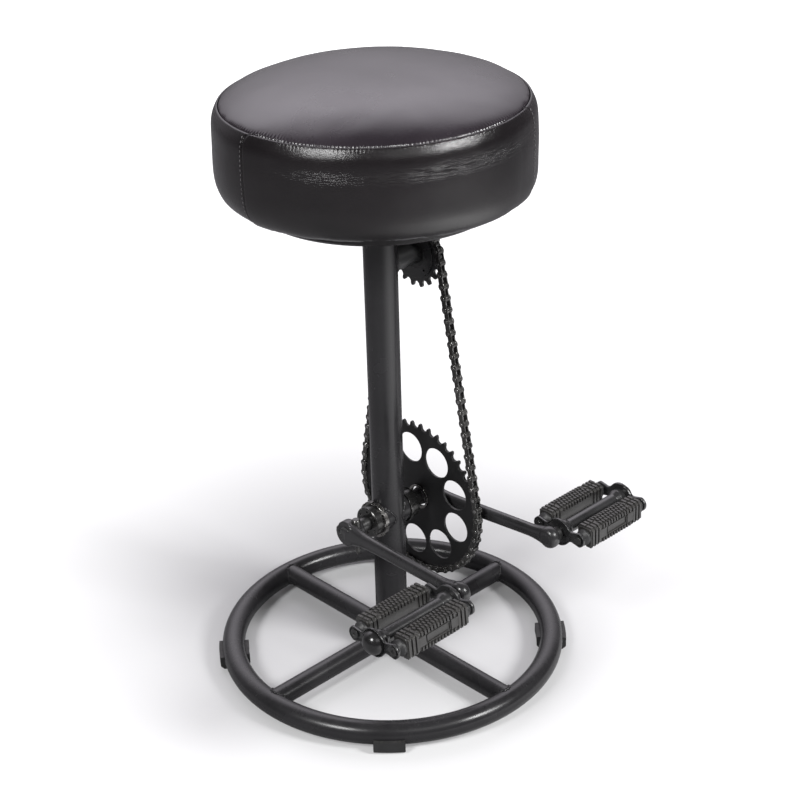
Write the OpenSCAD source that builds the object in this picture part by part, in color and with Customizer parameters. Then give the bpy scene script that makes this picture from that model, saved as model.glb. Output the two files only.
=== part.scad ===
// Counter stool on a bicycle drive: ring base, single post, round leather seat,
// chain drive between two sprockets, and two cottered cranks with block pedals as footrests.
// Millimetres. The origin is on the floor on the post's axis, +Z is up,
// the pedals point to -Y and the chain drive is on the +X side.

/* [Base] */
// Radius of the base ring, to the middle of its tube
ring_r = 181.4; // [160:0.2:240]
// Outer diameter of the base ring's tube
ring_tube_d = 25.4; // [22:0.1:32]
// Outer diameter of the spokes
spoke_d = 22.2; // [14:0.2:24]
// Wall thickness of the ring's tube and the spokes
base_wall = 1.6; // [1:0.1:3]
// Thickness of the rubber clips under the ring
foot_wall = 4; // [2.5:0.5:6]
// Length of each rubber clip along the ring
foot_len = 31; // [15:1:60]

/* [Post] */
// Outer diameter of the post
post_d = 35.6; // [35.2:0.2:50]
// Wall thickness of the post
post_wall = 2; // [1.5:0.1:4]
// Height of the post's lower end above the floor
post_foot_z = 5; // [2:0.5:7]

/* [Seat] */
// Height of the middle of the seat above the floor
stool_h = 675; // [660:1:780]
// Height of the seat's crown above its top seam
crown_h = 26; // [8:1:40]
// Radius of the seat at its top seam
seam_r = 153.5; // [135:0.5:159]
// Largest radius of the seat, low on its side
seat_r = 159; // [154:0.5:190]
// Height of the seat's side, from the lower edge to the top seam
side_h = 98; // [60:1:115]
// Height of the rounded lower corner of the seat
corner_h = 17; // [8:1:30]
// Width of the rounded lower corner of the seat
corner_w = 22; // [10:1:28]
// Thickness of the leather cover
leather_t = 2; // [1:0.5:3]
// Radius of the wooden seat board
board_r = 124.5; // [90:0.5:130]
// Thickness of the seat board
board_t = 12; // [9:1:18]
// Radius of the steel plate on top of the post
plate_r = 60; // [55:1:80]
// Thickness of the steel plate
plate_t = 4; // [3:0.5:8]
// Radius of the circle of seat bolts
seat_bolt_circle_r = 45; // [32:1:52]
// Diameter of the seat bolts
seat_bolt_d = 6; // [5:0.5:8]

/* [Chain drive] */
// Number of links in the chain, an even number
links = 78; // [76:2:80]
// Teeth of the chainring
ring_teeth = 44; // [42:1:46]
// Teeth of the upper sprocket
top_teeth = 18; // [17:1:20]
// Distance of the chain from the middle of the stool
chain_x = 49; // [48.5:0.5:56]
// Thickness of the sprocket plates at the teeth
tooth_t = 3; // [2:0.1:3.2]
// Radius of the chain's rollers
roller_r = 3.9; // [3.6:0.1:4]
// Radius of the chain's pins
pin_r = 1.8; // [1.5:0.1:2]
// Height of the chain's link plates
link_h = 8.4; // [7.5:0.1:9]
// Thickness of the chain's link plates
link_t = 1; // [0.8:0.1:1.2]
// Number of round holes in the chainring
ring_holes = 9; // [5:1:9]
// Radius of the round holes in the chainring
ring_hole_r = 17.5; // [10:0.5:18]
// Radius of the circle that the holes lie on
ring_hole_circle_r = 59; // [50:0.5:60]
// Width of the chainring's thicker rim, inside the chain's pitch circle
ring_rim_w = 5; // [5:0.5:9]

/* [Bottom bracket and cranks] */
// Height of the crank spindle above the floor
bb_z = 177.4; // [170:0.2:200]
// Outer radius of the bracket shell through the post
shell_r = 17.2; // [16.8:0.1:17.4]
// Distance of the cups' outer faces from the middle
cup_face_x = 32; // [30:0.5:36]
// Radius of the crank spindle
spindle_r = 8; // [7:0.25:8.5]
// Length of each crank, from spindle to pedal
crank_len = 175; // [150:1:176]
// Tilt of the left crank above the horizontal, in degrees
left_crank_tilt = 2.2; // [-10:0.1:15]
// Tilt of the right crank, which its cotter holds a little higher, in degrees
right_crank_tilt = 3.5; // [-10:0.1:15]
// Radius of the boss at the spindle end of a crank
boss_r = 14; // [13.5:0.5:17]
// Width of a crank's boss
boss_w = 22; // [19:1:22]
// Height of a crank arm's oval section
arm_h = 15; // [12:0.5:18]
// Thickness of a crank arm's oval section
arm_t = 10; // [8:0.5:11]
// Distance of the pedal eyes from the middle of the stool
eye_x = 68.5; // [67.5:0.5:71]
// Radius of the pedal eyes
eye_r = 12; // [10:0.5:14]
// Width of the pedal eyes
eye_w = 14; // [12:1:15]
// Radius of the cotters
cotter_r = 4.75; // [4:0.25:5]

/* [Pedals] */
// Tilt of the left pedal, front edge up, in degrees
left_pedal_tilt = 5.5; // [-20:0.5:20]
// Tilt of the right pedal, front edge up, in degrees
right_pedal_tilt = 1.5; // [-20:0.5:20]
// Distance of the inner end plate from the middle of the stool
plate_in_x = 84; // [83:0.5:90]
// Distance between the end plates
plates_apart = 99; // [98:1:110]
// Thickness of the end plates
cage_t = 2; // [1.5:0.1:2.5]
// Distance of the rubber blocks' bolts from the pedal spindle
block_y = 27; // [25:0.5:30]
// Length of the rubber blocks
block_len = 83; // [70:1:84]
// Width of the rubber blocks
block_w = 20.5; // [17:0.5:23]
// Height of the rubber blocks
block_h = 24.5; // [20:0.5:27]
// Chamfer along the rubber blocks
block_chamfer = 3; // [2:0.5:5]
// Radius of the pedal's middle tube
barrel_r = 7.5; // [7.2:0.1:8.5]
// Radius of the pedal's spindle
axle_r = 5.5; // [5:0.1:5.8]
// Radius of the domed dust cap
dome_r = 10.5; // [10:0.5:13]
// Diameter of the through bolts
rod_d = 6; // [5:0.5:6]

/* [Hidden] */
$fn = 96;

// Clearances: of a piece that only touches, of fixed pieces that slide together, and of moving pieces
touch = 0.02;
fit = 0.1;
gap = 0.3;
// How far a cutting solid reaches past what it cuts
over = 1;

// Colours
satin_black = [0.07, 0.07, 0.075];
dark_steel = [0.13, 0.13, 0.135];
oiled_steel = [0.2, 0.19, 0.18];
bright_steel = [0.6, 0.6, 0.62];
rubber_black = [0.05, 0.05, 0.05];
leather_black = [0.1, 0.09, 0.1];
leather_crown = [0.24, 0.22, 0.25];
foam_cream = [0.85, 0.8, 0.65];
board_brown = [0.16, 0.12, 0.1];

// Base
ring_tube_r = ring_tube_d / 2;
ring_z = foot_wall + ring_tube_r;
spoke_r = spoke_d / 2;
spoke_z = ring_z + ring_tube_r - spoke_r;
foot_angles = [45, 143, 225, 316];
foot_span = foot_len / ring_r * 180 / PI;
foot_h = ring_z - 1;
foot_half_w = ring_tube_r + foot_wall;
foot_chamfer = foot_wall;

// Post and seat, from the top down
post_r = post_d / 2;
seam_z = stool_h - crown_h;
cushion_z = seam_z - side_h;
plate_z = cushion_z - board_t - plate_t;
corner_z = cushion_z + corner_h;
crown_power = 2.7;
bulge_power = 3;
crown_steps = 14;
side_steps = 8;
corner_steps = 6;
lip_r = board_r - 12;
seat_bolts_n = 4;
bolt_head_h = 4;
bolt_head_r = seat_bolt_d * 0.95;
washer_t = 1.2;
bolt_bite = board_t - 2;
board_round = 2.5;

// Chain: one pitch of chain lies on one tooth's arc of the pitch circle
pitch = 12.7;
ring_pitch_r = ring_teeth * pitch / (2 * PI);
top_pitch_r = top_teeth * pitch / (2 * PI);
ring_rim_r = ring_pitch_r - ring_rim_w;
pitch_step = ring_pitch_r - top_pitch_r;
chain_len = links * pitch;
arcs_len = PI * (ring_pitch_r + top_pitch_r);
function runs_len(c) = chain_len - arcs_len - 2 * pitch_step * asin(pitch_step / c) * PI / 180;
function spread(c, n) = n == 0 ? c : spread(norm([runs_len(c) / 2, pitch_step]), n - 1);
centres = spread(chain_len / 3, 6);
hub_z = bb_z + centres;
slope = asin(pitch_step / centres);
run_len = sqrt(pow(centres, 2) - pow(pitch_step, 2));
top_arc_len = top_pitch_r * PI * (180 - 2 * slope) / 180;
seat_clear = 0.2;
tooth_h = 2.4;
tooth_tip_w = 1.2;
root_r = roller_r + seat_clear;
link_gap = 0.1;
inner_w = tooth_t + 4 * link_gap;
inner_x = inner_w / 2;
outer_x = inner_x + link_t + link_gap;
pin_x = outer_x + link_t + 0.5;
waist = 0.7;

// Angles from straight up, turning towards the front; a chain pin lies at the front tangent point
front_tangent = 90 - slope;
top_pin_angle = front_tangent - (ceil(run_len / pitch) - run_len / pitch) * 360 / top_teeth;

// Bottom bracket, from the middle outwards
shell_len = post_d + 0.4;
shell_wall = 1.7;
sleeve_r = shell_r - shell_wall - fit;
sleeve_wall = 0.9;
cup_x = shell_len / 2 + 5;
cup_r = shell_r;
lockring_r = 20.5;
lockring_notches = 8;
notch_w = 4;
notch_d = 2.2;
cup_lip_r = 19;
ball_race_r = sleeve_r - sleeve_wall;
ball_r = (ball_race_r - spindle_r - gap) / 2;
ball_circle_r = ball_race_r - ball_r - touch;
ball_x = cup_x - 1 - ball_r - gap;
shoulder_x = ball_x - ball_r - gap;
shoulder_r = ball_race_r - gap;
cup_bore_r = spindle_r + 0.5;
bracket_balls_n = 11;
cup_holes = 6;
cup_hole_r = 1.3;
cup_hole_depth = 3;

// Cranks
left_boss_x = 66;
right_boss_x = chain_x + tooth_t / 2 + boss_w + 1.5;
collar_r = 14.5;
collar_t = 2;
hub_r = 12;
cotter_y = spindle_r - 0.5;
cotter_top = 17;
cotter_tail = 27;
cotter_flat = cotter_y - cotter_r + 2;
cotter_tail_r = 2.6;
arm_inset = 0.5;
function crank_tilt(side) = side < 0 ? left_crank_tilt : right_crank_tilt;
function pedal_tilt(side) = side < 0 ? left_pedal_tilt : right_pedal_tilt;

// Upper hub, outwards from the post
stub_r = 12.7;
stub_wall = 2;
hub_face_x = chain_x - tooth_t / 2 - 2;
cover_t = 1.4;
cover_r = 28.2;
core_r = 17;
core_end_x = chain_x + tooth_t / 2 + 3.5;
hub_ball_r = 1.5;
hub_ball_circle_r = core_r + hub_ball_r + touch;
hub_balls_n = 24;
sprocket_bore_r = hub_ball_circle_r + hub_ball_r + gap;
sprocket_body_r = 29;
hub_bolt_r = 5;
hub_bolt_head_r = 8.5;
hub_bolt_head_h = 6;
hub_washer_r = 11;
plug_len = 12;

// Pedals, outwards from the crank
plate_out_x = plate_in_x + cage_t + plates_apart;
block_x = plate_in_x + cage_t + (plates_apart - block_len) / 2;
block_far_x = block_x + block_len;
collar_x = plate_in_x - 4;
barrel_in_x = plate_in_x + cage_t;
barrel_out_x = plate_out_x;
bell_len = 7;
bell_taper = 5;
axle_ball_r = 1.5;
race_r = axle_r + gap + 2 * axle_ball_r;
axle_ball_circle_r = race_r - axle_ball_r - touch;
bell_r = race_r + 1.1;
axle_balls_n = 12;
race_depth = 2 * axle_ball_r + 1;
thread_r = 3.5;
cage_hub_r = 16;
lobe_r = 8;
web_w = 11;
cage_bore_r = axle_r + 2;
rod_r = rod_d / 2;
nut_h = 2.6;
nut_r = 5;
rod_end = 0.4;
rivet_r = 4.8;
rivet_hole_r = 2;
rivet_h = 1.4;
ferrule_r = 8.6;
ferrule_neck_r = 5.6;
locknut_r = 6.6;
locknut_h = 3;
dome_wall = 1;
dome_base = 2.5;

// A straight cylinder along X
module rod_x(x0, x1, r) {
  translate([x0, 0, 0])
    rotate([0, 90, 0])
      cylinder(h = x1 - x0, r = r);
}

// A tube along X
module tube_x(x0, x1, r_out, r_in) {
  difference() {
    rod_x(x0, x1, r_out);
    rod_x(x0 - over, x1 + over, r_in);
  }
}

// A turned piece about X, from points [radius, x]
module turned_x(points) {
  rotate([0, 90, 0])
    rotate_extrude()
      polygon(points);
}

// A ring of balls about X
module balls_x(n, circle_r, x, r) {
  for (i = [0 : n - 1])
    rotate([i * 360 / n, 0, 0])
      translate([x, 0, circle_r])
        sphere(r);
}

// A regular prism about X, r to its corners
module prism_x(x0, x1, r, sides) {
  translate([x0, 0, 0])
    rotate([0, 90, 0])
      cylinder(h = x1 - x0, r = r, $fn = sides);
}

// Places on the stool
module at_bracket() {
  translate([0, 0, bb_z])
    children();
}

module at_crank(side) {
  at_bracket()
    rotate([-crank_tilt(side), 0, 0])
      children();
}

module at_hub() {
  translate([0, 0, hub_z])
    children();
}

// A pedal is drawn on the +X side, with x measured from the middle of the stool
module at_pedal(side) {
  at_bracket()
    translate([0, -crank_len * cos(crank_tilt(side)), crank_len * sin(crank_tilt(side))])
      rotate([-pedal_tilt(side), 0, 0]) {
        if (side < 0) mirror([1, 0, 0]) children();
        else children();
      }
}

// Base
module base_ring() {
  color(satin_black)
    translate([0, 0, ring_z])
      rotate_extrude()
        translate([ring_r, 0])
          difference() {
            circle(ring_tube_r);
            circle(ring_tube_r - base_wall);
          }
}

module ring_core() {
  translate([0, 0, ring_z])
    rotate_extrude()
      translate([ring_r, 0])
        circle(ring_tube_r);
}

module spokes() {
  color(satin_black)
    for (i = [0 : 3])
      difference() {
        translate([0, 0, spoke_z])
          rotate([0, 0, i * 90])
            tube_x(0, ring_r, spoke_r, spoke_r - base_wall);
        cylinder(h = 2 * ring_z, r = post_r);
        ring_core();
      }
}

module foot_section() {
  difference() {
    polygon([
      [-foot_half_w, foot_h],
      [-foot_half_w, foot_chamfer],
      [-foot_half_w + foot_chamfer, 0],
      [foot_half_w - foot_chamfer, 0],
      [foot_half_w, foot_chamfer],
      [foot_half_w, foot_h]
    ]);
    translate([0, ring_z])
      circle(ring_tube_r + touch);
  }
}

module feet() {
  color(rubber_black)
    for (a = foot_angles)
      rotate([0, 0, a - foot_span / 2])
        rotate_extrude(angle = foot_span)
          translate([ring_r, 0])
            foot_section();
}

module post() {
  color(satin_black)
    difference() {
      translate([0, 0, post_foot_z])
        cylinder(h = plate_z - post_foot_z, r = post_r);
      translate([0, 0, post_foot_z - over])
        cylinder(h = plate_z - post_foot_z + 2 * over, r = post_r - post_wall);
      at_bracket()
        rod_x(-post_r - over, post_r + over, shell_r);
    }
}

// Bottom bracket
module bracket_shell() {
  color(satin_black)
    at_bracket()
      tube_x(-shell_len / 2, shell_len / 2, shell_r, shell_r - shell_wall);
}

// A bearing cup on the +X side, with points [radius, x] for its outer flange
module cup(flange) {
  difference() {
    turned_x(concat(
      [[ball_race_r, shoulder_x - 4], [sleeve_r, shoulder_x - 4]],
      flange,
      [[cup_bore_r, cup_face_x], [cup_bore_r, cup_x - 1], [ball_race_r, cup_x - 1]]
    ));
    for (i = [0 : cup_holes - 1])
      rotate([i * 360 / cup_holes, 0, 0])
        translate([0, 0, (cup_r + cup_bore_r) / 2])
          rod_x(cup_face_x - cup_hole_depth, cup_face_x + over, cup_hole_r);
  }
}

module cup_left() {
  color(dark_steel)
    at_bracket()
      mirror([1, 0, 0])
        cup([[sleeve_r, cup_x], [cup_r, cup_x], [cup_r, cup_face_x - 0.8], [cup_r - 0.8, cup_face_x]]);
}

module cup_right() {
  color(dark_steel)
    at_bracket()
      cup([
        [sleeve_r, shell_len / 2],
        [cup_lip_r, shell_len / 2],
        [cup_lip_r, cup_x - 2],
        [cup_r, cup_x],
        [cup_r, cup_face_x - 0.8],
        [cup_r - 0.8, cup_face_x]
      ]);
}

module lockring() {
  color(bright_steel)
    at_bracket()
      difference() {
        tube_x(-cup_x, -shell_len / 2, lockring_r, sleeve_r + fit);
        for (i = [0 : lockring_notches - 1])
          rotate([i * 360 / lockring_notches, 0, 0])
            translate([-cup_x - over, -notch_w / 2, lockring_r - notch_d])
              cube([cup_x - shell_len / 2 + 2 * over, notch_w, notch_d + over]);
      }
}

module bracket_balls() {
  color(bright_steel)
    at_bracket()
      for (side = [-1, 1])
        balls_x(bracket_balls_n, ball_circle_r, side * ball_x, ball_r);
}

// Upper hub
module hub_stub() {
  color(satin_black)
    difference() {
      at_hub()
        tube_x(0, hub_face_x, stub_r, stub_r - stub_wall);
      translate([0, 0, hub_z - 2 * stub_r])
        cylinder(h = 4 * stub_r, r = post_r);
    }
}

module hub_plug() {
  color(dark_steel)
    at_hub()
      tube_x(hub_face_x - plug_len, hub_face_x, stub_r - stub_wall - fit, hub_bolt_r + fit);
}

module hub_core() {
  color(dark_steel)
    at_hub()
      tube_x(hub_face_x, core_end_x, core_r, hub_bolt_r + fit);
}

module hub_cover() {
  color(dark_steel)
    at_hub()
      difference() {
        tube_x(hub_face_x + 0.2, hub_face_x + 0.2 + cover_t, cover_r, core_r + fit);
        for (i = [0 : 3])
          rotate([45 + i * 90, 0, 0])
            translate([0, 0, cover_r - 5])
              rod_x(hub_face_x - over, hub_face_x + cover_t + over, 1.4);
      }
}

module hub_balls() {
  color(bright_steel)
    at_hub()
      balls_x(hub_balls_n, hub_ball_circle_r, chain_x + 0.5, hub_ball_r);
}

module hub_washer() {
  color(dark_steel)
    at_hub()
      tube_x(core_end_x, core_end_x + washer_t, hub_washer_r, hub_bolt_r + fit);
}

module hub_bolt() {
  color(dark_steel)
    at_hub() {
      rod_x(hub_face_x - plug_len, core_end_x + washer_t + over, hub_bolt_r);
      prism_x(core_end_x + washer_t, core_end_x + washer_t + hub_bolt_head_h, hub_bolt_head_r, 6);
    }
}

// A toothed disc about X, with a chain pin at the given angle from straight up towards the front
module toothed_disc(teeth, thickness, pin_angle, plain_r) {
  pitch_r = teeth * pitch / (2 * PI);
  tip_r = pitch_r + tooth_h;
  half_gap = PI * tip_r / teeth - tooth_tip_w / 2;
  rotate([0, 90, 0])
    rotate([0, 0, 180])
      linear_extrude(height = thickness, center = true)
        difference() {
          circle(tip_r);
          for (i = [0 : teeth - 1])
            rotate([0, 0, pin_angle + i * 360 / teeth]) {
              translate([pitch_r, 0])
                circle(root_r);
              polygon([
                [pitch_r, -root_r],
                [tip_r + over, -half_gap - over / 2],
                [tip_r + over, half_gap + over / 2],
                [pitch_r, root_r]
              ]);
            }
          circle(plain_r);
        }
}

module sprocket() {
  color(dark_steel)
    at_hub()
      translate([chain_x, 0, 0]) {
        toothed_disc(top_teeth, tooth_t, top_pin_angle, sprocket_bore_r);
        tube_x(0, tooth_t / 2 + 2.5, sprocket_body_r, sprocket_bore_r);
      }
}

module chainring() {
  color(dark_steel)
    at_bracket()
      translate([chain_x, 0, 0])
        difference() {
          union() {
            toothed_disc(ring_teeth, tooth_t, front_tangent, ring_rim_r);
            tube_x(-tooth_t / 2 + 0.4, tooth_t / 2 - 0.4, ring_rim_r + over / 2, hub_r + fit / 2);
          }
          for (i = [0 : ring_holes - 1])
            rotate([front_tangent + 360 / ring_teeth + (i + 0.5) * 360 / ring_holes, 0, 0])
              translate([0, 0, ring_hole_circle_r])
                rod_x(-tooth_t, tooth_t, ring_hole_r);
        }
}

module chainring_collar() {
  color(bright_steel)
    at_bracket()
      tube_x(
        chain_x - tooth_t / 2 + 0.4 - collar_t,
        chain_x - tooth_t / 2 + 0.4,
        collar_r,
        hub_r + fit / 2
      );
}

// Chain: place [y, z] of the point at length s along the loop, from the front tangent on the chainring
function on_circle(z, r, a) = [-r * sin(a), z + r * cos(a)];
function loop_point(s) =
  s < run_len ? on_circle(bb_z, ring_pitch_r, front_tangent) + s * [sin(slope), cos(slope)] :
  s < run_len + top_arc_len ?
    on_circle(hub_z, top_pitch_r, front_tangent - (s - run_len) / top_pitch_r * 180 / PI) :
  s < 2 * run_len + top_arc_len ?
    on_circle(hub_z, top_pitch_r, -front_tangent) + (s - run_len - top_arc_len) * [sin(slope), -cos(slope)] :
  on_circle(bb_z, ring_pitch_r, -front_tangent - (s - 2 * run_len - top_arc_len) / ring_pitch_r * 180 / PI);
function chain_pin(i) = loop_point((i % links) * pitch);

// One link plate along Y from the origin, with its own length between the pins
module link_plate(len, hole_r, x) {
  translate([x, 0, 0])
    rotate([90, 0, 90])
      linear_extrude(height = link_t)
        difference() {
          union() {
            circle(link_h / 2);
            translate([len, 0])
              circle(link_h / 2);
            translate([0, -link_h / 2 * waist])
              square([len, link_h * waist]);
          }
          circle(hole_r);
          translate([len, 0])
            circle(hole_r);
        }
}

// The children stand at the pin that starts link i, turned along the link
module at_link(i) {
  a = chain_pin(i);
  b = chain_pin(i + 1);
  translate([chain_x, a[0], a[1]])
    rotate([atan2(b[1] - a[1], b[0] - a[0]), 0, 0])
      children();
}

function link_len(i) = norm(chain_pin(i + 1) - chain_pin(i));

module chain_outer_plates() {
  color(oiled_steel)
    for (i = [0 : 2 : links - 2])
      at_link(i) {
        link_plate(link_len(i), pin_r + 0.02, outer_x);
        link_plate(link_len(i), pin_r + 0.02, -outer_x - link_t);
      }
}

module chain_inner_plates() {
  color(oiled_steel)
    for (i = [1 : 2 : links - 1])
      at_link(i) {
        link_plate(link_len(i), pin_r + fit, inner_x);
        link_plate(link_len(i), pin_r + fit, -inner_x - link_t);
      }
}

module chain_pins() {
  color(bright_steel)
    for (i = [0 : links - 1])
      at_link(i)
        rod_x(-pin_x, pin_x, pin_r);
}

module chain_rollers() {
  color(oiled_steel)
    for (i = [0 : links - 1])
      at_link(i)
        tube_x(-inner_x + link_gap / 2, inner_x - link_gap / 2, roller_r, pin_r + fit);
}

// Seat
function crown_z(r, inset) = seam_z - inset + crown_h * (1 - pow(r / seam_r, crown_power));
function crown_points(inset) = [
  for (i = [0 : crown_steps])
    let (r = (seam_r - inset) * i / crown_steps)
      [r, crown_z(r, inset)]
];
function side_points(inset) = [
  for (i = [0 : side_steps])
    let (t = i / side_steps)
      [seat_r - inset - (seat_r - seam_r) * pow(1 - t, bulge_power), seam_z - t * (seam_z - corner_z)]
];
function corner_points(inset) = [
  for (i = [1 : corner_steps])
    let (a = 90 * i / corner_steps)
      [seat_r - corner_w + (corner_w - inset) * cos(a), corner_z - (corner_h - inset) * sin(a)]
];
function reversed(list) = [for (i = [len(list) - 1 : -1 : 0]) list[i]];

module seat_top_panel() {
  color(leather_crown)
    rotate_extrude()
      polygon(concat(
        crown_points(0),
        [[seam_r - leather_t, seam_z - leather_t]],
        reversed([for (p = crown_points(leather_t)) if (p[0] < seam_r - 2 * leather_t) p])
      ));
}

module seat_side_band() {
  color(leather_black)
    rotate_extrude()
      polygon(concat(
        [[seam_r - leather_t, seam_z - leather_t - gap], [seam_r, seam_z - gap]],
        [for (p = side_points(0)) if (p[1] < seam_z - gap) p],
        corner_points(0),
        [[lip_r, cushion_z], [lip_r, cushion_z + leather_t]],
        reversed(corner_points(leather_t)),
        reversed([for (p = side_points(leather_t)) if (p[1] < seam_z - leather_t - gap) p])
      ));
}

module seat_foam() {
  inset = leather_t + gap;
  color(foam_cream)
    rotate_extrude()
      polygon(concat(
        [for (p = crown_points(inset)) if (p[0] < seam_r - 3 * leather_t) p],
        [[seam_r - 3 * leather_t, seam_z - 2 * leather_t]],
        [for (p = side_points(inset)) if (p[1] < seam_z - 3 * leather_t) p],
        corner_points(inset),
        [[lip_r - gap, cushion_z + inset], [lip_r - gap, cushion_z], [0, cushion_z]]
      ));
}

module seat_bolt_places() {
  for (i = [0 : seat_bolts_n - 1])
    rotate([0, 0, 45 + i * 360 / seat_bolts_n])
      translate([seat_bolt_circle_r, 0, 0])
        children();
}

module seat_board() {
  color(board_brown)
    difference() {
      translate([0, 0, cushion_z - board_t])
        rotate_extrude()
          polygon([
            [0, 0],
            [board_r - board_round, 0],
            [board_r, board_round],
            [board_r, board_t],
            [0, board_t]
          ]);
      seat_bolt_places()
        translate([0, 0, cushion_z - board_t - over])
          cylinder(h = bolt_bite + over, r = seat_bolt_d / 2 + fit);
    }
}

module seat_plate() {
  color(satin_black)
    difference() {
      translate([0, 0, plate_z])
        cylinder(h = plate_t, r = plate_r);
      seat_bolt_places()
        translate([0, 0, plate_z - over])
          cylinder(h = plate_t + 2 * over, r = seat_bolt_d / 2 + fit);
    }
}

module seat_washers() {
  color(dark_steel)
    seat_bolt_places()
      translate([0, 0, plate_z - washer_t])
        difference() {
          cylinder(h = washer_t, r = seat_bolt_d);
          translate([0, 0, -over])
            cylinder(h = washer_t + 2 * over, r = seat_bolt_d / 2 + fit);
        }
}

module seat_bolts() {
  color(dark_steel)
    seat_bolt_places() {
      translate([0, 0, plate_z - washer_t - bolt_head_h])
        cylinder(h = bolt_head_h, r = bolt_head_r, $fn = 6);
      translate([0, 0, plate_z - washer_t - over])
        cylinder(h = washer_t + over + plate_t + bolt_bite, r = seat_bolt_d / 2);
    }
}

// Cranks, drawn in their own frame: the arms along -Y, the spindle along X
module crank_spindle() {
  color(dark_steel)
    difference() {
      at_bracket() {
        rod_x(-left_boss_x + 0.5, right_boss_x - 0.5, spindle_r);
        rod_x(-shoulder_x, shoulder_x, shoulder_r);
      }
      for (side = [-1, 1])
        at_crank(side)
          translate([boss_mid(side) - cotter_r - over / 2, -spindle_r - over, -spindle_r - over])
            cube([2 * cotter_r + over, spindle_r + over - cotter_flat, 2 * (spindle_r + over)]);
    }
}

// The middle of a crank's boss, with its side's sign
function boss_mid(side) = side < 0 ? -left_boss_x + boss_w / 2 : right_boss_x - boss_w / 2;

// The oval bar from the outer side of the boss to the pedal eye
module crank_arm(start_x) {
  lean = atan2(eye_x - start_x, crank_len);
  length = norm([eye_x - start_x, crank_len]);
  translate([start_x, 0, 0])
    rotate([90, 0, 0])
      rotate([0, lean, 0])
        linear_extrude(height = length)
          union() {
            square([arm_t, arm_h - arm_t], center = true);
            for (s = [-1, 1])
              translate([0, s * (arm_h - arm_t) / 2])
                circle(arm_t / 2);
          }
}

// One crank on the +X side, its boss from boss_in to boss_out
module crank(boss_in, boss_out, nose_r, nose_x) {
  difference() {
    union() {
      rod_x(boss_in, boss_out, boss_r);
      rod_x(nose_x, boss_in + over, nose_r);
      crank_arm(boss_out - arm_t / 2 - arm_inset);
      translate([0, -crank_len, 0])
        rod_x(eye_x - eye_w / 2, eye_x + eye_w / 2, eye_r);
    }
    rod_x(nose_x - over, boss_out + over, spindle_r + fit / 2);
    translate([(boss_in + boss_out) / 2, -cotter_y, -boss_r - over])
      cylinder(h = 2 * (boss_r + over), r = cotter_r + fit);
    translate([0, -crank_len, 0])
      rod_x(eye_x - eye_w / 2 - over, eye_x + eye_w / 2 + over, axle_r + 1 + fit / 2);
  }
}

module crank_left() {
  color(satin_black)
    at_crank(-1)
      mirror([1, 0, 0])
        crank(left_boss_x - boss_w, left_boss_x, boss_r - 2, left_boss_x - boss_w);
}

module crank_right() {
  color(satin_black)
    at_crank(1)
      crank(right_boss_x - boss_w, right_boss_x, hub_r, chain_x - tooth_t / 2 + 0.4 - collar_t);
}

module cotters() {
  color(dark_steel)
    for (side = [-1, 1])
      at_crank(side)
        translate([boss_mid(side), -cotter_y, 0])
          difference() {
            union() {
              translate([0, 0, -boss_r])
                cylinder(h = boss_r + cotter_top - 1.5, r = cotter_r);
              translate([0, 0, cotter_top - 1.5])
                cylinder(h = 1.5, r1 = cotter_r, r2 = cotter_r - 1.2);
              translate([0, 0, -cotter_tail + 4])
                cylinder(h = cotter_tail - boss_r, r = cotter_tail_r);
              translate([0, 0, -cotter_tail])
                cylinder(h = 4, r1 = 0.6, r2 = cotter_tail_r);
            }
            translate([-cotter_r - over, cotter_y - cotter_flat - fit, -spindle_r - gap])
              cube([2 * (cotter_r + over), cotter_r + over, 2 * (spindle_r + gap)]);
          }
}

// Pedals
module pedal_spindle(side) {
  color(dark_steel)
    at_pedal(side) {
      rod_x(eye_x - eye_w / 2, eye_x + eye_w / 2 + over, axle_r + 1);
      rod_x(eye_x + eye_w / 2, collar_x, axle_r + 2.5);
      rod_x(collar_x - over, plate_out_x + cage_t, axle_r);
      rod_x(plate_out_x + cage_t - over, plate_out_x + cage_t + locknut_h + 1, thread_r);
    }
}

module pedal_locknut(side) {
  color(bright_steel)
    at_pedal(side)
      difference() {
        prism_x(plate_out_x + cage_t, plate_out_x + cage_t + locknut_h, locknut_r, 6);
        rod_x(plate_out_x, plate_out_x + cage_t + 2 * locknut_h, thread_r + fit / 2);
      }
}

module pedal_barrel(side) {
  half = [
    [race_r, barrel_in_x],
    [bell_r, barrel_in_x],
    [bell_r, barrel_in_x + bell_len],
    [barrel_r, barrel_in_x + bell_len + bell_taper],
    [barrel_r, barrel_out_x - bell_len - bell_taper],
    [bell_r, barrel_out_x - bell_len],
    [bell_r, barrel_out_x],
    [race_r, barrel_out_x],
    [race_r, barrel_out_x - race_depth],
    [axle_r + 2 * gap, barrel_out_x - race_depth],
    [axle_r + 2 * gap, barrel_in_x + race_depth],
    [race_r, barrel_in_x + race_depth]
  ];
  color(dark_steel)
    at_pedal(side)
      turned_x(half);
}

module pedal_balls(side) {
  color(bright_steel)
    at_pedal(side)
      for (x = [barrel_in_x + axle_ball_r + gap, barrel_out_x - axle_ball_r - gap])
        balls_x(axle_balls_n, axle_ball_circle_r, x, axle_ball_r);
}

// The wavy end plate: a round middle, a lobe round each bolt and a narrow web between them
module cage_plate(x, bore_r) {
  difference() {
    union() {
      rod_x(x, x + cage_t, cage_hub_r);
      translate([x, -block_y, -web_w / 2])
        cube([cage_t, 2 * block_y, web_w]);
      for (s = [-1, 1])
        translate([0, s * block_y, 0])
          rod_x(x, x + cage_t, lobe_r);
    }
    rod_x(x - over, x + cage_t + over, bore_r);
    for (s = [-1, 1])
      translate([0, s * block_y, 0])
        rod_x(x - over, x + cage_t + over, rod_r + fit);
  }
}

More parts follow.
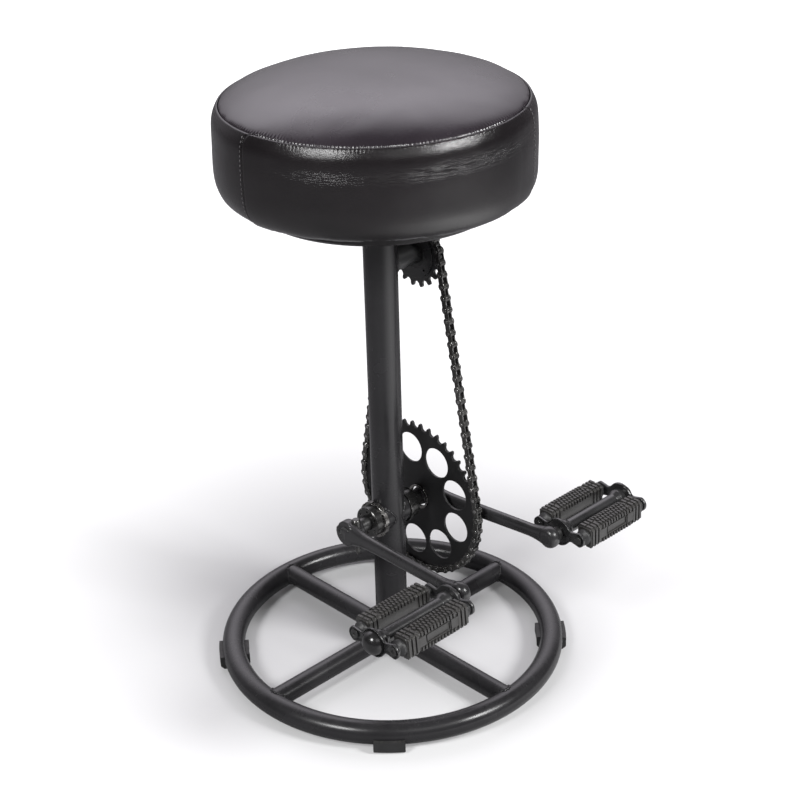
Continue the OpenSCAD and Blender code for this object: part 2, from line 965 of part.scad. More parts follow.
module pedal_inner_plate(side) {
  color(satin_black)
    at_pedal(side)
      cage_plate(plate_in_x, cage_bore_r);
}

module pedal_outer_plate(side) {
  color(satin_black)
    at_pedal(side)
      cage_plate(plate_out_x, cage_bore_r);
}

module rubber_block(side, end) {
  w = block_w / 2;
  h = block_h / 2;
  c = block_chamfer;
  color(rubber_black)
    at_pedal(side)
      translate([0, end * block_y, 0])
        difference() {
          translate([block_x, 0, 0])
            rotate([90, 0, 90])
              linear_extrude(height = block_len)
                polygon([
                  [-w + c, -h], [w - c, -h], [w, -h + c], [w, h - c],
                  [w - c, h], [-w + c, h], [-w, h - c], [-w, -h + c]
                ]);
          rod_x(block_x - over, block_far_x + over, rod_r + fit);
        }
}

module pedal_ferrules(side) {
  near = [
    [rod_r + fit, plate_in_x + cage_t],
    [ferrule_neck_r, plate_in_x + cage_t],
    [ferrule_neck_r, plate_in_x + cage_t + 2],
    [ferrule_r, block_x - 3],
    [ferrule_r, block_x],
    [rod_r + fit, block_x]
  ];
  color(dark_steel)
    at_pedal(side)
      for (s = [-1, 1])
        translate([0, s * block_y, 0]) {
          turned_x(near);
          translate([block_x + block_far_x, 0, 0])
            mirror([1, 0, 0])
              turned_x(near);
        }
}

module pedal_bolts(side) {
  color(dark_steel)
    at_pedal(side)
      for (s = [-1, 1])
        translate([0, s * block_y, 0]) {
          rod_x(plate_in_x - nut_h - rod_end, plate_out_x + cage_t + over / 2, rod_r);
          tube_x(plate_out_x + cage_t, plate_out_x + cage_t + rivet_h, rivet_r, rivet_hole_r);
        }
}

module pedal_nuts(side) {
  color(dark_steel)
    at_pedal(side)
      for (s = [-1, 1])
        translate([0, s * block_y, 0])
          difference() {
            prism_x(plate_in_x - nut_h, plate_in_x, nut_r, 6);
            rod_x(plate_in_x - 2 * nut_h, plate_in_x + over, rod_r + fit / 2);
          }
}

module pedal_dust_cap(side) {
  base_x = plate_out_x + cage_t;
  color(satin_black)
    at_pedal(side)
      difference() {
        union() {
          rod_x(base_x, base_x + dome_base, dome_r);
          intersection() {
            translate([base_x + dome_base, 0, 0])
              sphere(dome_r);
            rod_x(base_x + dome_base, base_x + dome_base + dome_r, dome_r + over);
          }
        }
        rod_x(base_x - over, base_x + dome_base, dome_r - dome_wall);
        translate([base_x + dome_base, 0, 0])
          sphere(dome_r - dome_wall);
      }
}

base_ring();
spokes();
feet();
post();
bracket_shell();
cup_left();
cup_right();
lockring();
bracket_balls();
hub_stub();
hub_plug();
hub_core();
hub_cover();
hub_balls();
hub_washer();
hub_bolt();
sprocket();
chain_outer_plates();
chain_inner_plates();
chain_pins();
chain_rollers();
seat_plate();
seat_bolts();
seat_washers();
seat_board();
seat_foam();
seat_top_panel();
seat_side_band();
crank_spindle();
crank_left();
crank_right();
cotters();
chainring();
chainring_collar();
pedal_spindle(-1);  // pedal_spindle_left
pedal_locknut(-1);  // pedal_locknut_left
pedal_barrel(-1);  // pedal_barrel_left
pedal_balls(-1);  // pedal_balls_left
pedal_inner_plate(-1);  // pedal_inner_plate_left
pedal_outer_plate(-1);  // pedal_outer_plate_left
rubber_block(-1, -1);  // pedal_front_block_left
rubber_block(-1, 1);  // pedal_rear_block_left
pedal_ferrules(-1);  // pedal_ferrules_left
pedal_bolts(-1);  // pedal_bolts_left
pedal_nuts(-1);  // pedal_nuts_left
pedal_dust_cap(-1);  // pedal_dust_cap_left
pedal_spindle(1);  // pedal_spindle_right
pedal_locknut(1);  // pedal_locknut_right
pedal_barrel(1);  // pedal_barrel_right
pedal_balls(1);  // pedal_balls_right
pedal_inner_plate(1);  // pedal_inner_plate_right
pedal_outer_plate(1);  // pedal_outer_plate_right
rubber_block(1, -1);  // pedal_front_block_right
rubber_block(1, 1);  // pedal_rear_block_right
pedal_ferrules(1);  // pedal_ferrules_right
pedal_bolts(1);  // pedal_bolts_right
pedal_nuts(1);  // pedal_nuts_right
pedal_dust_cap(1);  // pedal_dust_cap_right
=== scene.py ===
from math import atan2, copysign, cos, exp, hypot, pi, radians, sin, sqrt, tan

import bmesh
import bpy
from mathutils import Matrix, Vector, noise
from mathutils.bvhtree import BVHTree


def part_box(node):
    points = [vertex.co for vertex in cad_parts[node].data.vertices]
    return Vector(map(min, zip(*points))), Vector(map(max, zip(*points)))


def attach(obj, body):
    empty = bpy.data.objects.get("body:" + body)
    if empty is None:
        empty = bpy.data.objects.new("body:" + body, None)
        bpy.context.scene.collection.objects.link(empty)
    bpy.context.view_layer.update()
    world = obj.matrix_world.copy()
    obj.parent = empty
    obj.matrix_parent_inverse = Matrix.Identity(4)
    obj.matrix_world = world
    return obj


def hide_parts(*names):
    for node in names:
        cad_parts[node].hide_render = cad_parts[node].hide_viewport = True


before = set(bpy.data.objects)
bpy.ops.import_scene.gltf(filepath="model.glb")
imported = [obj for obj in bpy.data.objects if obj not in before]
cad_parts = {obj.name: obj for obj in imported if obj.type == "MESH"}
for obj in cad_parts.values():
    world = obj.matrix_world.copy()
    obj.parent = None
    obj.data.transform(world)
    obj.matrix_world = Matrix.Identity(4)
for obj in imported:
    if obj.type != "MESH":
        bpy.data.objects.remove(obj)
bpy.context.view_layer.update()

mm = 0.001
sides = ("left", "right")
print("stool: frame loaded")


# Places on the stool, read from the frame
def middleOf(node):
    low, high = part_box(node)
    return (low + high) / 2


crankAxis = middleOf("crank_spindle")
postRadius = (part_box("post")[1].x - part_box("post")[0].x) / 2


# Shader helpers
def put(tree, value, socket):
    if isinstance(value, bpy.types.NodeSocket):
        tree.links.new(value, socket)
    else:
        socket.default_value = value


def fill(tree, node, inputs):  # inputs by label or by number
    for label, value in inputs.items():
        put(tree, value, node.inputs[label])


def addNode(tree, kind, inputs=None, **settings):
    node = tree.nodes.new(kind)
    for key, value in settings.items():
        setattr(node, key, value)
    fill(tree, node, inputs or {})
    return node


def maths(tree, operation, first, second=0.0, clamp=False):
    return addNode(tree, "ShaderNodeMath", {0: first, 1: second}, operation=operation, use_clamp=clamp).outputs[0]


def product(tree, first, *others):
    for other in others:
        first = maths(tree, "MULTIPLY", first, other)
    return first


def vectorMaths(tree, operation, first, second):
    return addNode(tree, "ShaderNodeVectorMath", {0: first, 1: second}, operation=operation).outputs["Value"]


def split(tree, vector):
    return addNode(tree, "ShaderNodeSeparateXYZ", {0: vector}).outputs


def joined(tree, x, y, z):
    return addNode(tree, "ShaderNodeCombineXYZ", {0: x, 1: y, 2: z}).outputs[0]


def objectPlace(tree):
    return addNode(tree, "ShaderNodeTexCoord").outputs["Object"]


def noiseFor(tree, vector, scale, detail=3.0, rough=0.55):
    inputs = {"Vector": vector, "Scale": scale, "Detail": detail, "Roughness": rough}
    return addNode(tree, "ShaderNodeTexNoise", inputs).outputs["Fac"]


def remap(tree, value, low, high, outLow=0.0, outHigh=1.0):
    inputs = {"Value": value, "From Min": low, "From Max": high, "To Min": outLow, "To Max": outHigh}
    return addNode(tree, "ShaderNodeMapRange", inputs).outputs["Result"]


def blendColour(tree, factor, first, second):
    inputs = {"Factor": factor, "A": first, "B": second}
    return addNode(tree, "ShaderNodeMix", inputs, data_type="RGBA").outputs["Result"]


labelKinds = {
    "Normal": "NodeSocketVector", "Material": "NodeSocketMaterial", "Line": "NodeSocketGeometry",
    "Shape": "NodeSocketGeometry"}
valueKinds = {float: "NodeSocketFloat", int: "NodeSocketInt"}


def newGroup(name, inputs, outputs, kind="ShaderNodeTree"):  # a socket's kind follows its label, or else its value
    tree = bpy.data.node_groups.new(name, kind)
    for label, value in inputs.items():
        socketKind = labelKinds.get(label) or valueKinds[type(value)]
        socket = tree.interface.new_socket(label, in_out="INPUT", socket_type=socketKind)
        if value is not None:
            socket.default_value = value
    for label in outputs:
        socketKind = labelKinds.get(label, valueKinds[float])
        tree.interface.new_socket(label, in_out="OUTPUT", socket_type=socketKind)
    return tree, tree.nodes.new("NodeGroupInput").outputs, tree.nodes.new("NodeGroupOutput").inputs


# Ranges and depths of the shared effects, the depths in metres
effects = dict(
    edgeTurn=(0.995, 0.85), edgePatches=(0.45, 0.65), skinBroad=(0.3, 0.7), skinTone=(0.4, 1.0), fineShare=0.4,
    dustFacing=(0.2, 0.95), dustSpecks=(0.42, 0.7), warp=(0.004, 0.004, 0.004), pebbleEdge=(0.0, 0.22),
    pebbleShare=0.7, creaseShare=0.6, patches=(0.35, 0.65), hardDeep=0.0001, rubberDeep=0.0003, grainDeep=0.0002,
    fineNoise=(2.0,), broadNoise=(4.0,), dustNoise=(5.0, 0.7), creaseNoise=(6.0, 0.62),  # detail, then roughness
    rubberSkin=dict(Fine=1500.0, Broad=60.0), rubberBump=0.6, rubberDustScale=420.0, sheenRough=0.4,
    hardDust=(0.35, 0.34, 0.32, 1), rubberDust=(0.25, 0.235, 0.2, 1))


# Edges worn a little brighter, found with a rounded copy of the normal
def makeEdgeWear():
    inputs = {"Radius": 0.0006, "Scale": 300.0, "Amount": 0.5}
    tree, given, out = newGroup("edgeWear", inputs, ["Mask", "Normal"])
    rounded = addNode(tree, "ShaderNodeBevel", {"Radius": given["Radius"]}, samples=4).outputs["Normal"]
    plain = addNode(tree, "ShaderNodeNewGeometry").outputs["Normal"]
    edge = remap(tree, vectorMaths(tree, "DOT_PRODUCT", rounded, plain), *effects["edgeTurn"])
    patches = remap(tree, noiseFor(tree, objectPlace(tree), given["Scale"]), *effects["edgePatches"])
    put(tree, product(tree, edge, patches, given["Amount"]), out["Mask"])
    put(tree, rounded, out["Normal"])
    return tree


# Sprayed or plated skin: a fine uneven height and slow changes of gloss
def makeSkin():
    inputs = {"Fine": 900.0, "Broad": 22.0, "Rough Low": 0.35, "Rough High": 0.5}
    tree, given, out = newGroup("sprayedSkin", inputs, ["Height", "Roughness", "Tone"])
    fine = noiseFor(tree, objectPlace(tree), given["Fine"], *effects["fineNoise"])
    broad = noiseFor(tree, objectPlace(tree), given["Broad"], *effects["broadNoise"])
    put(tree, fine, out["Height"])
    rough = remap(tree, broad, *effects["skinBroad"], given["Rough Low"], given["Rough High"])
    put(tree, rough, out["Roughness"])
    tone = maths(tree, "ADD", product(tree, fine, effects["fineShare"]), broad)
    put(tree, remap(tree, tone, *effects["skinTone"]), out["Tone"])
    return tree


# Dust that lies on what faces up
def makeDust():
    tree, given, out = newGroup("restingDust", {"Scale": 160.0, "Amount": 0.1}, ["Mask"])
    normal = addNode(tree, "ShaderNodeNewGeometry").outputs["Normal"]
    up = remap(tree, split(tree, normal)["Z"], *effects["dustFacing"])
    specks = noiseFor(tree, objectPlace(tree), given["Scale"], *effects["dustNoise"])
    specks = remap(tree, specks, *effects["dustSpecks"])
    put(tree, product(tree, up, specks, given["Amount"]), out["Mask"])
    return tree


# Leather: small pebbles on a soft uneven height, with broad patches
def makeGrain():
    inputs = {"Pebble": 650.0, "Crease": 60.0, "Patch": 9.0}
    tree, given, out = newGroup("leatherGrain", inputs, ["Height", "Patches"])
    place = objectPlace(tree)
    warp = addNode(tree, "ShaderNodeTexNoise", {"Vector": place, "Scale": given["Crease"]}).outputs["Color"]
    warped = addNode(tree, "ShaderNodeVectorMath", {0: warp, 1: effects["warp"], 2: place},
                     operation="MULTIPLY_ADD").outputs[0]
    cells = addNode(tree, "ShaderNodeTexVoronoi", {"Vector": warped, "Scale": given["Pebble"]},
                    feature="DISTANCE_TO_EDGE")
    pebbles = remap(tree, cells.outputs["Distance"], *effects["pebbleEdge"])
    creases = noiseFor(tree, warped, given["Crease"], *effects["creaseNoise"])
    pebbles, creases = product(tree, pebbles, effects["pebbleShare"]), product(tree, creases, effects["creaseShare"])
    put(tree, maths(tree, "ADD", pebbles, creases), out["Height"])
    patches = noiseFor(tree, place, given["Patch"], *effects["broadNoise"])
    put(tree, remap(tree, patches, *effects["patches"]), out["Patches"])
    return tree


edgeWear, sprayedSkin, restingDust, leatherGrain = makeEdgeWear(), makeSkin(), makeDust(), makeGrain()


def useGroup(tree, group, **values):
    inputs = {label.replace("_", " "): value for label, value in values.items()}
    return addNode(tree, "ShaderNodeGroup", inputs, node_tree=group).outputs


def newMaterial(name):
    material = bpy.data.materials.new(name)
    material.use_nodes = True
    tree = material.node_tree
    return material, tree, tree.nodes["Principled BSDF"]


def bumpFrom(tree, height, distance, strength, normal=None):
    inputs = {"Distance": distance, "Strength": strength, "Height": height}
    if normal:
        inputs["Normal"] = normal
    return addNode(tree, "ShaderNodeBump", inputs).outputs["Normal"]


# Hard parts: paint, plating and oiled steel
plainFinish = dict(metal=0.0, wornColour=(0.2, 0.2, 0.2), fine=500, bump=0.3, wear=0.5, dust=0.02, shine=0.5)
finishes = {
    "framePaint": dict(
        colour=(0.0145, 0.0141, 0.0151), light=(0.024, 0.0234, 0.0251), wornColour=(0.1, 0.1, 0.1),
        rough=(0.2, 0.3), fine=1100, bump=0.06, wear=0.12, shine=0.29),
    "crankPaint": dict(
        colour=(0.015, 0.0148, 0.0155), light=(0.026, 0.0255, 0.027),
        rough=(0.2, 0.32), fine=700, wear=0.3, dust=0.03, shine=0.4),
    "drivePaint": dict(
        colour=(0.008, 0.008, 0.0085), light=(0.014, 0.014, 0.0145),
        rough=(0.34, 0.46), fine=900, bump=0.25, shine=0.3),
    # a lighter copy of the black paint for the hub parts under the seat: painted light standing in for the light the
    # seat's shade keeps off them
    "hubPaintWithPaintedLight": dict(
        colour=(0.02, 0.02, 0.0205), light=(0.034, 0.034, 0.035), wornColour=(0.3, 0.3, 0.3),
        rough=(0.24, 0.36), fine=900, bump=0.2, shine=0.42),
    "wornSteel": dict(
        colour=(0.06, 0.058, 0.056), light=(0.32, 0.31, 0.3), wornColour=(0.9, 0.89, 0.87),
        metal=0.95, rough=(0.16, 0.34), bump=0.5, wear=1.0, dust=0.0),
    "chainSteel": dict(
        colour=(0.03, 0.0295, 0.029), light=(0.1, 0.098, 0.095), wornColour=(0.7, 0.69, 0.67),
        metal=0.7, rough=(0.16, 0.36), fine=800, bump=0.5, wear=1.0, dust=0.0),
    "pinSteel": dict(
        colour=(0.16, 0.158, 0.155), light=(0.5, 0.49, 0.48), wornColour=(0.85, 0.84, 0.82),
        metal=0.95, rough=(0.12, 0.26), fine=700, bump=0.2, wear=0.9, dust=0.0),
    "cupSteel": dict(
        colour=(0.022, 0.022, 0.022), light=(0.075, 0.074, 0.072), wornColour=(0.8, 0.79, 0.77),
        metal=0.7, rough=(0.14, 0.3), wear=0.9, dust=0.0),
    "fastenerSteel": dict(
        colour=(0.02, 0.02, 0.02), light=(0.05, 0.05, 0.05), wornColour=(0.35, 0.35, 0.34),
        metal=0.5, rough=(0.3, 0.45), fine=600),
    "spindleSteel": dict(
        colour=(0.035, 0.034, 0.034), light=(0.12, 0.12, 0.12), wornColour=(0.5, 0.5, 0.5),
        metal=0.8, rough=(0.25, 0.4)),
    "bearingSteel": dict(
        colour=(0.5, 0.5, 0.52), light=(0.75, 0.75, 0.77), wornColour=(0.8, 0.8, 0.8),
        metal=1.0, rough=(0.08, 0.16), fine=400, bump=0.05, wear=0.0, dust=0.0),
    "capMetal": dict(
        colour=(0.008, 0.008, 0.0082), light=(0.014, 0.014, 0.0143),
        rough=(0.16, 0.24), bump=0.08, wear=0.2),
    "pedalMetal": dict(
        colour=(0.013, 0.013, 0.0133), light=(0.026, 0.026, 0.027), wornColour=(0.35, 0.35, 0.35),
        rough=(0.2, 0.32), bump=0.12, wear=0.35),
}
finishes["ferruleMetal"] = dict(finishes["pedalMetal"], rough=(0.42, 0.54))


def makeHardFinish(name):
    values = {**plainFinish, **finishes[name]}
    material, tree, shader = newMaterial(name)
    skin = useGroup(tree, sprayedSkin, Fine=values["fine"], Rough_Low=values["rough"][0],
                    Rough_High=values["rough"][1])
    worn = useGroup(tree, edgeWear, Amount=values["wear"])
    dust = useGroup(tree, restingDust, Amount=values["dust"])
    base = blendColour(tree, skin["Tone"], (*values["colour"], 1), (*values["light"], 1))
    base = blendColour(tree, worn["Mask"], base, (*values["wornColour"], 1))
    base = blendColour(tree, dust["Mask"], base, effects["hardDust"])
    fill(tree, shader, {
        "Base Color": base, "Metallic": values["metal"], "Specular IOR Level": values["shine"],
        "Roughness": maths(tree, "ADD", skin["Roughness"], dust["Mask"], True),
        "Normal": bumpFrom(tree, skin["Height"], effects["hardDeep"], values["bump"], worn["Normal"])})
    return material


hard = {name: makeHardFinish(name) for name in finishes}


# Rubber of the pedal blocks and the feet
def makeRubber(name, colour, light, rough, dustAmount):
    material, tree, shader = newMaterial(name)
    skin = useGroup(tree, sprayedSkin, Rough_Low=rough[0], Rough_High=rough[1], **effects["rubberSkin"])
    dust = useGroup(tree, restingDust, Scale=effects["rubberDustScale"], Amount=dustAmount)
    base = blendColour(tree, skin["Tone"], (*colour, 1), (*light, 1))
    fill(tree, shader, {
        "Base Color": blendColour(tree, dust["Mask"], base, effects["rubberDust"]),
        "Roughness": skin["Roughness"],
        "Normal": bumpFrom(tree, skin["Height"], effects["rubberDeep"], effects["rubberBump"])})
    return material


blockRubber = makeRubber("blockRubber", (0.016, 0.0155, 0.015), (0.034, 0.0325, 0.031), (0.36, 0.56), 0.12)
footRubber = makeRubber("footRubber", (0.012, 0.012, 0.012), (0.025, 0.025, 0.026), (0.5, 0.7), 0.1)

creases = dict(
    scale=(38.0, 520.0), lineNoise=(1.0, 3.0, 0.6), lineWidth=0.05, patchNoise=(0.05, 2.0), patches=(0.45, 0.6),
    deep=0.0005)
leathers = {
    "topLeather": dict(
        colour=(0.014, 0.011, 0.014), patch=(0.022, 0.0175, 0.022), rough=(0.18, 0.29), bump=0.2,
        sheen=0.05, shine=0.5, creaseAt=0.06, creaseReach=0.03, creaseDeep=0.1),
    "sideLeather": dict(
        colour=(0.0065, 0.0055, 0.006), patch=(0.0115, 0.0095, 0.0105), rough=(0.18, 0.27), bump=0.36,
        sheen=0.0, shine=0.43, creaseAt=0.026, creaseReach=0.015, creaseDeep=0.5),
}


def makeLeather(name):
    values = leathers[name]
    material, tree, shader = newMaterial(name)
    grain = useGroup(tree, leatherGrain)
    spot = split(tree, addNode(tree, "ShaderNodeUVMap", uv_map="panelMap").outputs[0])
    stretched = joined(tree, *(product(tree, spot[axis], scale) for axis, scale in zip("XY", creases["scale"])), 0.0)
    lines = maths(tree, "SUBTRACT", noiseFor(tree, stretched, *creases["lineNoise"]), 0.5)
    lines = remap(tree, maths(tree, "ABSOLUTE", lines), 0.0, creases["lineWidth"])
    away = maths(tree, "ABSOLUTE", maths(tree, "SUBTRACT", spot["Y"], values["creaseAt"]))
    where = remap(tree, away, values["creaseReach"], 0.0)
    patchy = remap(tree, noiseFor(tree, stretched, *creases["patchNoise"]), *creases["patches"])
    creased = product(tree, where, patchy, maths(tree, "SUBTRACT", lines, 1.0))
    fine = bumpFrom(tree, grain["Height"], effects["grainDeep"], values["bump"])
    fill(tree, shader, {
        "Base Color": blendColour(tree, grain["Patches"], (*values["colour"], 1), (*values["patch"], 1)),
        "Roughness": remap(tree, grain["Patches"], 0, 1, *values["rough"]),
        "Normal": bumpFrom(tree, creased, creases["deep"], values["creaseDeep"], fine),
        "Sheen Weight": values["sheen"], "Sheen Roughness": effects["sheenRough"],
        "Specular IOR Level": values["shine"]})
    return material


leather = {name: makeLeather(name) for name in leathers}
thread = makeRubber("seatThread", (0.07, 0.068, 0.07), (0.16, 0.155, 0.16), (0.35, 0.5), 0.0)

wears = {
    "framePaint": ["base_ring", "spokes", "post", "bracket_shell", "seat_plate"],
    "crankPaint": ["crank_left", "crank_right"],
    "cupSteel": ["cup_left", "cup_right", "cotters"],
    "drivePaint": ["chainring"],
    # the hub parts under the seat wear the lightened copy of the paint, painted light
    "hubPaintWithPaintedLight": ["sprocket", "hub_cover", "hub_stub"],
    "wornSteel": ["lockring", "chainring_collar"],
    "chainSteel": ["chain_outer_plates", "chain_inner_plates", "chain_rollers"],
    "pinSteel": ["chain_pins"],
    "fastenerSteel": ["hub_plug", "hub_core", "hub_washer", "hub_bolt", "seat_bolts", "seat_washers"],
    "spindleSteel": ["crank_spindle"],
    "bearingSteel": ["bracket_balls", "hub_balls"],
}
pedalWears = {  # on both sides
    "fastenerSteel": ["bolts", "nuts", "locknut"],
    "spindleSteel": ["spindle"],
    "bearingSteel": ["balls"],
    "pedalMetal": ["barrel", "inner_plate", "outer_plate", "dust_cap"],
    "ferruleMetal": ["ferrules"],
}


def dress(node, material):
    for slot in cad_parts[node].material_slots:
        slot.material = material


for finish, names in wears.items():
    for name in names:
        dress(name, hard[finish])
for side in sides:
    for finish, names in pedalWears.items():
        for name in names:
            dress(f"pedal_{name}_{side}", hard[finish])
    for end in ("front", "rear"):
        dress(f"pedal_{end}_block_{side}", blockRubber)
dress("feet", footRubber)
dress("seat_top_panel", leather["topLeather"])
for name in ("seat_side_band", "seat_foam", "seat_board"):
    dress(name, leather["sideLeather"])
print("stool: finishes made")


# Helpers for meshes and places
def linked(name, data):
    piece = bpy.data.objects.new(name, data)
    bpy.context.scene.collection.objects.link(piece)
    return piece


def evaluatedMesh(piece):
    return bpy.data.meshes.new_from_object(piece.evaluated_get(bpy.context.evaluated_depsgraph_get()))


def settled(piece):  # the modifiers' result made the piece's own mesh, smooth all over
    mesh = evaluatedMesh(piece)
    piece.modifiers.clear()
    piece.data = mesh
    for polygon in mesh.polygons:
        polygon.use_smooth = True
    return mesh


def linkMesh(name, verts, faces, materials=()):
    mesh = bpy.data.meshes.new(name)
    mesh.from_pydata(verts, [], faces)
    for material in materials:
        mesh.materials.append(material)
    return linked(name, mesh)


def ramp(value, low, high):
    return min(max((value - low) / (high - low), 0), 1)


def eased(share):
    return share * share * (3 - 2 * share)


def smoothCurve(points, count):  # a Catmull-Rom curve through a few chosen points
    ends = [2 * Vector(points[0]) - Vector(points[1])] + [Vector(p) for p in points] + \
        [2 * Vector(points[-1]) - Vector(points[-2])]
    result = []
    for step in range(count + 1):
        place = step / count * (len(points) - 1)
        index = min(int(place), len(points) - 2)
        t = place - index
        a, b, c, d = ends[index:index + 4]
        result.append(0.5 * ((2 * b) + (c - a) * t + (2 * a - 5 * b + 4 * c - d) * t * t
                             + (3 * b - a - 3 * c + d) * t ** 3))
    return result


def asPiece(name, form, material, smooth=None):  # a closed bmesh made into an object with outward normals
    bmesh.ops.recalc_face_normals(form, faces=form.faces)
    mesh = bpy.data.meshes.new(name)
    form.to_mesh(mesh)
    form.free()
    mesh.materials.clear()
    mesh.materials.append(material)
    if smooth is not None:
        mesh.shade_smooth()
        mesh.set_sharp_from_angle(angle=radians(smooth))
    return linked(name, mesh)


def addRings(form, rings):  # quads between rings of points; a ring of one point closes an end
    made = [[form.verts.new(point) for point in ring] for ring in rings]
    for one, other in zip(made, made[1:]):
        count = max(len(one), len(other))
        for k in range(count):
            after = (k + 1) % count
            corners = [one[k % len(one)], one[after % len(one)], other[after % len(other)], other[k % len(other)]]
            form.faces.new(list(dict.fromkeys(corners)))


def turned(profile, place, count=64):  # rings of a turned shape about the local x axis
    angles = [2 * pi * k / count for k in range(count)]
    return [[place @ Vector((x * mm, radius * mm * cos(a), radius * mm * sin(a)))
             for a in (angles if radius else angles[:1])] for radius, x in profile]


def sidePlace(side, middle, way):  # x points outward, y along the way in the stool's middle plane, z upward
    way = Vector((0, way.y, way.z)).normalized()
    up = Vector((0, -way.z, way.y))
    axes = Matrix(((-1 if side == "left" else 1, 0, 0), way, up if up.z > 0 else -up)).transposed()
    return Matrix.Translation((0, middle.y, middle.z)) @ axes.to_4x4()


def shifted(place, x, y, z):
    return place @ Matrix.Translation((x * mm, y * mm, z * mm))


# Repeated shapes: rows of lugs and lines of stitches, made with Geometry Nodes
def newShapeGroup(name, inputs):
    tree, given, out = newGroup(name, {**inputs, "Material": None}, ["Shape"], "GeometryNodeTree")
    tree.is_modifier = True
    return tree, given, out


def closeGroup(tree, shape, given, out):
    real = addNode(tree, "GeometryNodeRealizeInstances", {0: shape})
    coat = addNode(tree, "GeometryNodeSetMaterial", {"Geometry": real.outputs[0], "Material": given["Material"]})
    put(tree, coat.outputs[0], out["Shape"])
    return tree


def makeLugRows():  # a grid of tapered lugs, every other column moved along by the stagger
    tree, given, out = newShapeGroup("lugRows", {
        "Rows": 10, "Columns": 1, "Row Pitch": 0.004, "Column Pitch": 0.006, "Stagger": 0.0, "Long": 0.0026,
        "Wide": 0.005, "High": 0.0012, "Taper": 0.72})
    spans = [product(tree, maths(tree, "SUBTRACT", given[count], 1.0), given[pitch])
             for count, pitch in (("Rows", "Row Pitch"), ("Columns", "Column Pitch"))]
    grid = addNode(tree, "GeometryNodeMeshGrid", {
        "Vertices X": given["Rows"], "Vertices Y": given["Columns"], "Size X": spans[0], "Size Y": spans[1]})
    column = maths(tree, "MODULO", addNode(tree, "GeometryNodeInputIndex").outputs[0], given["Columns"])
    aside = product(tree, maths(tree, "MODULO", column, 2.0), given["Stagger"])
    moved = addNode(tree, "GeometryNodeSetPosition", {
        "Geometry": grid.outputs["Mesh"], "Offset": joined(tree, aside, 0.0, 0.0)})
    lug = addNode(tree, "GeometryNodeMeshCube", {"Size": joined(tree, given["Long"], given["Wide"], given["High"])})
    facing = split(tree, addNode(tree, "GeometryNodeInputNormal").outputs[0])
    upper = addNode(tree, "FunctionNodeCompare", {0: facing["Z"], 1: 0.5}, operation="GREATER_THAN")
    shaped = addNode(tree, "GeometryNodeScaleElements", {
        "Geometry": lug.outputs["Mesh"], "Selection": upper.outputs[0], "Scale": given["Taper"]})
    copies = addNode(tree, "GeometryNodeInstanceOnPoints", {
        "Points": moved.outputs[0], "Instance": shaped.outputs[0]})
    return closeGroup(tree, copies.outputs[0], given, out)


def makeStitchLine():  # short rounded threads lying along a line
    tree, given, out = newShapeGroup("stitchLine", {"Line": None, "Pitch": 0.004, "Long": 0.0026, "Thick": 0.0006})
    curve = addNode(tree, "GeometryNodeMeshToCurve", {0: given["Line"]})
    evenly = addNode(tree, "GeometryNodeResampleCurve", {"Curve": curve.outputs[0], "Length": given["Pitch"]},
                     mode="LENGTH")
    ball = addNode(tree, "GeometryNodeMeshUVSphere", {"Segments": 6, "Rings": 4, "Radius": 0.5})
    tangent = addNode(tree, "GeometryNodeInputTangent").outputs[0]
    turn = addNode(tree, "FunctionNodeAlignRotationToVector", {"Vector": tangent}, axis="X")
    copies = addNode(tree, "GeometryNodeInstanceOnPoints", {
        "Points": evenly.outputs[0], "Instance": ball.outputs[0], "Rotation": turn.outputs[0],
        "Scale": joined(tree, given["Long"], given["Thick"], given["Thick"])})
    return closeGroup(tree, copies.outputs[0], given, out)


lugRows, stitchLine = makeLugRows(), makeStitchLine()


def grown(group, base, **values):  # the mesh a shape group makes from a base mesh
    piece = linked(group.name, base or bpy.data.meshes.new("empty"))
    modifier = piece.modifiers.new(group.name, "NODES")
    modifier.node_group = group
    for item in group.interface.items_tree:
        label = item.name.replace(" ", "_")
        if item.in_out == "INPUT" and label in values:
            modifier[item.identifier] = values[label]
    mesh = evaluatedMesh(piece)
    bpy.data.objects.remove(piece)
    return mesh


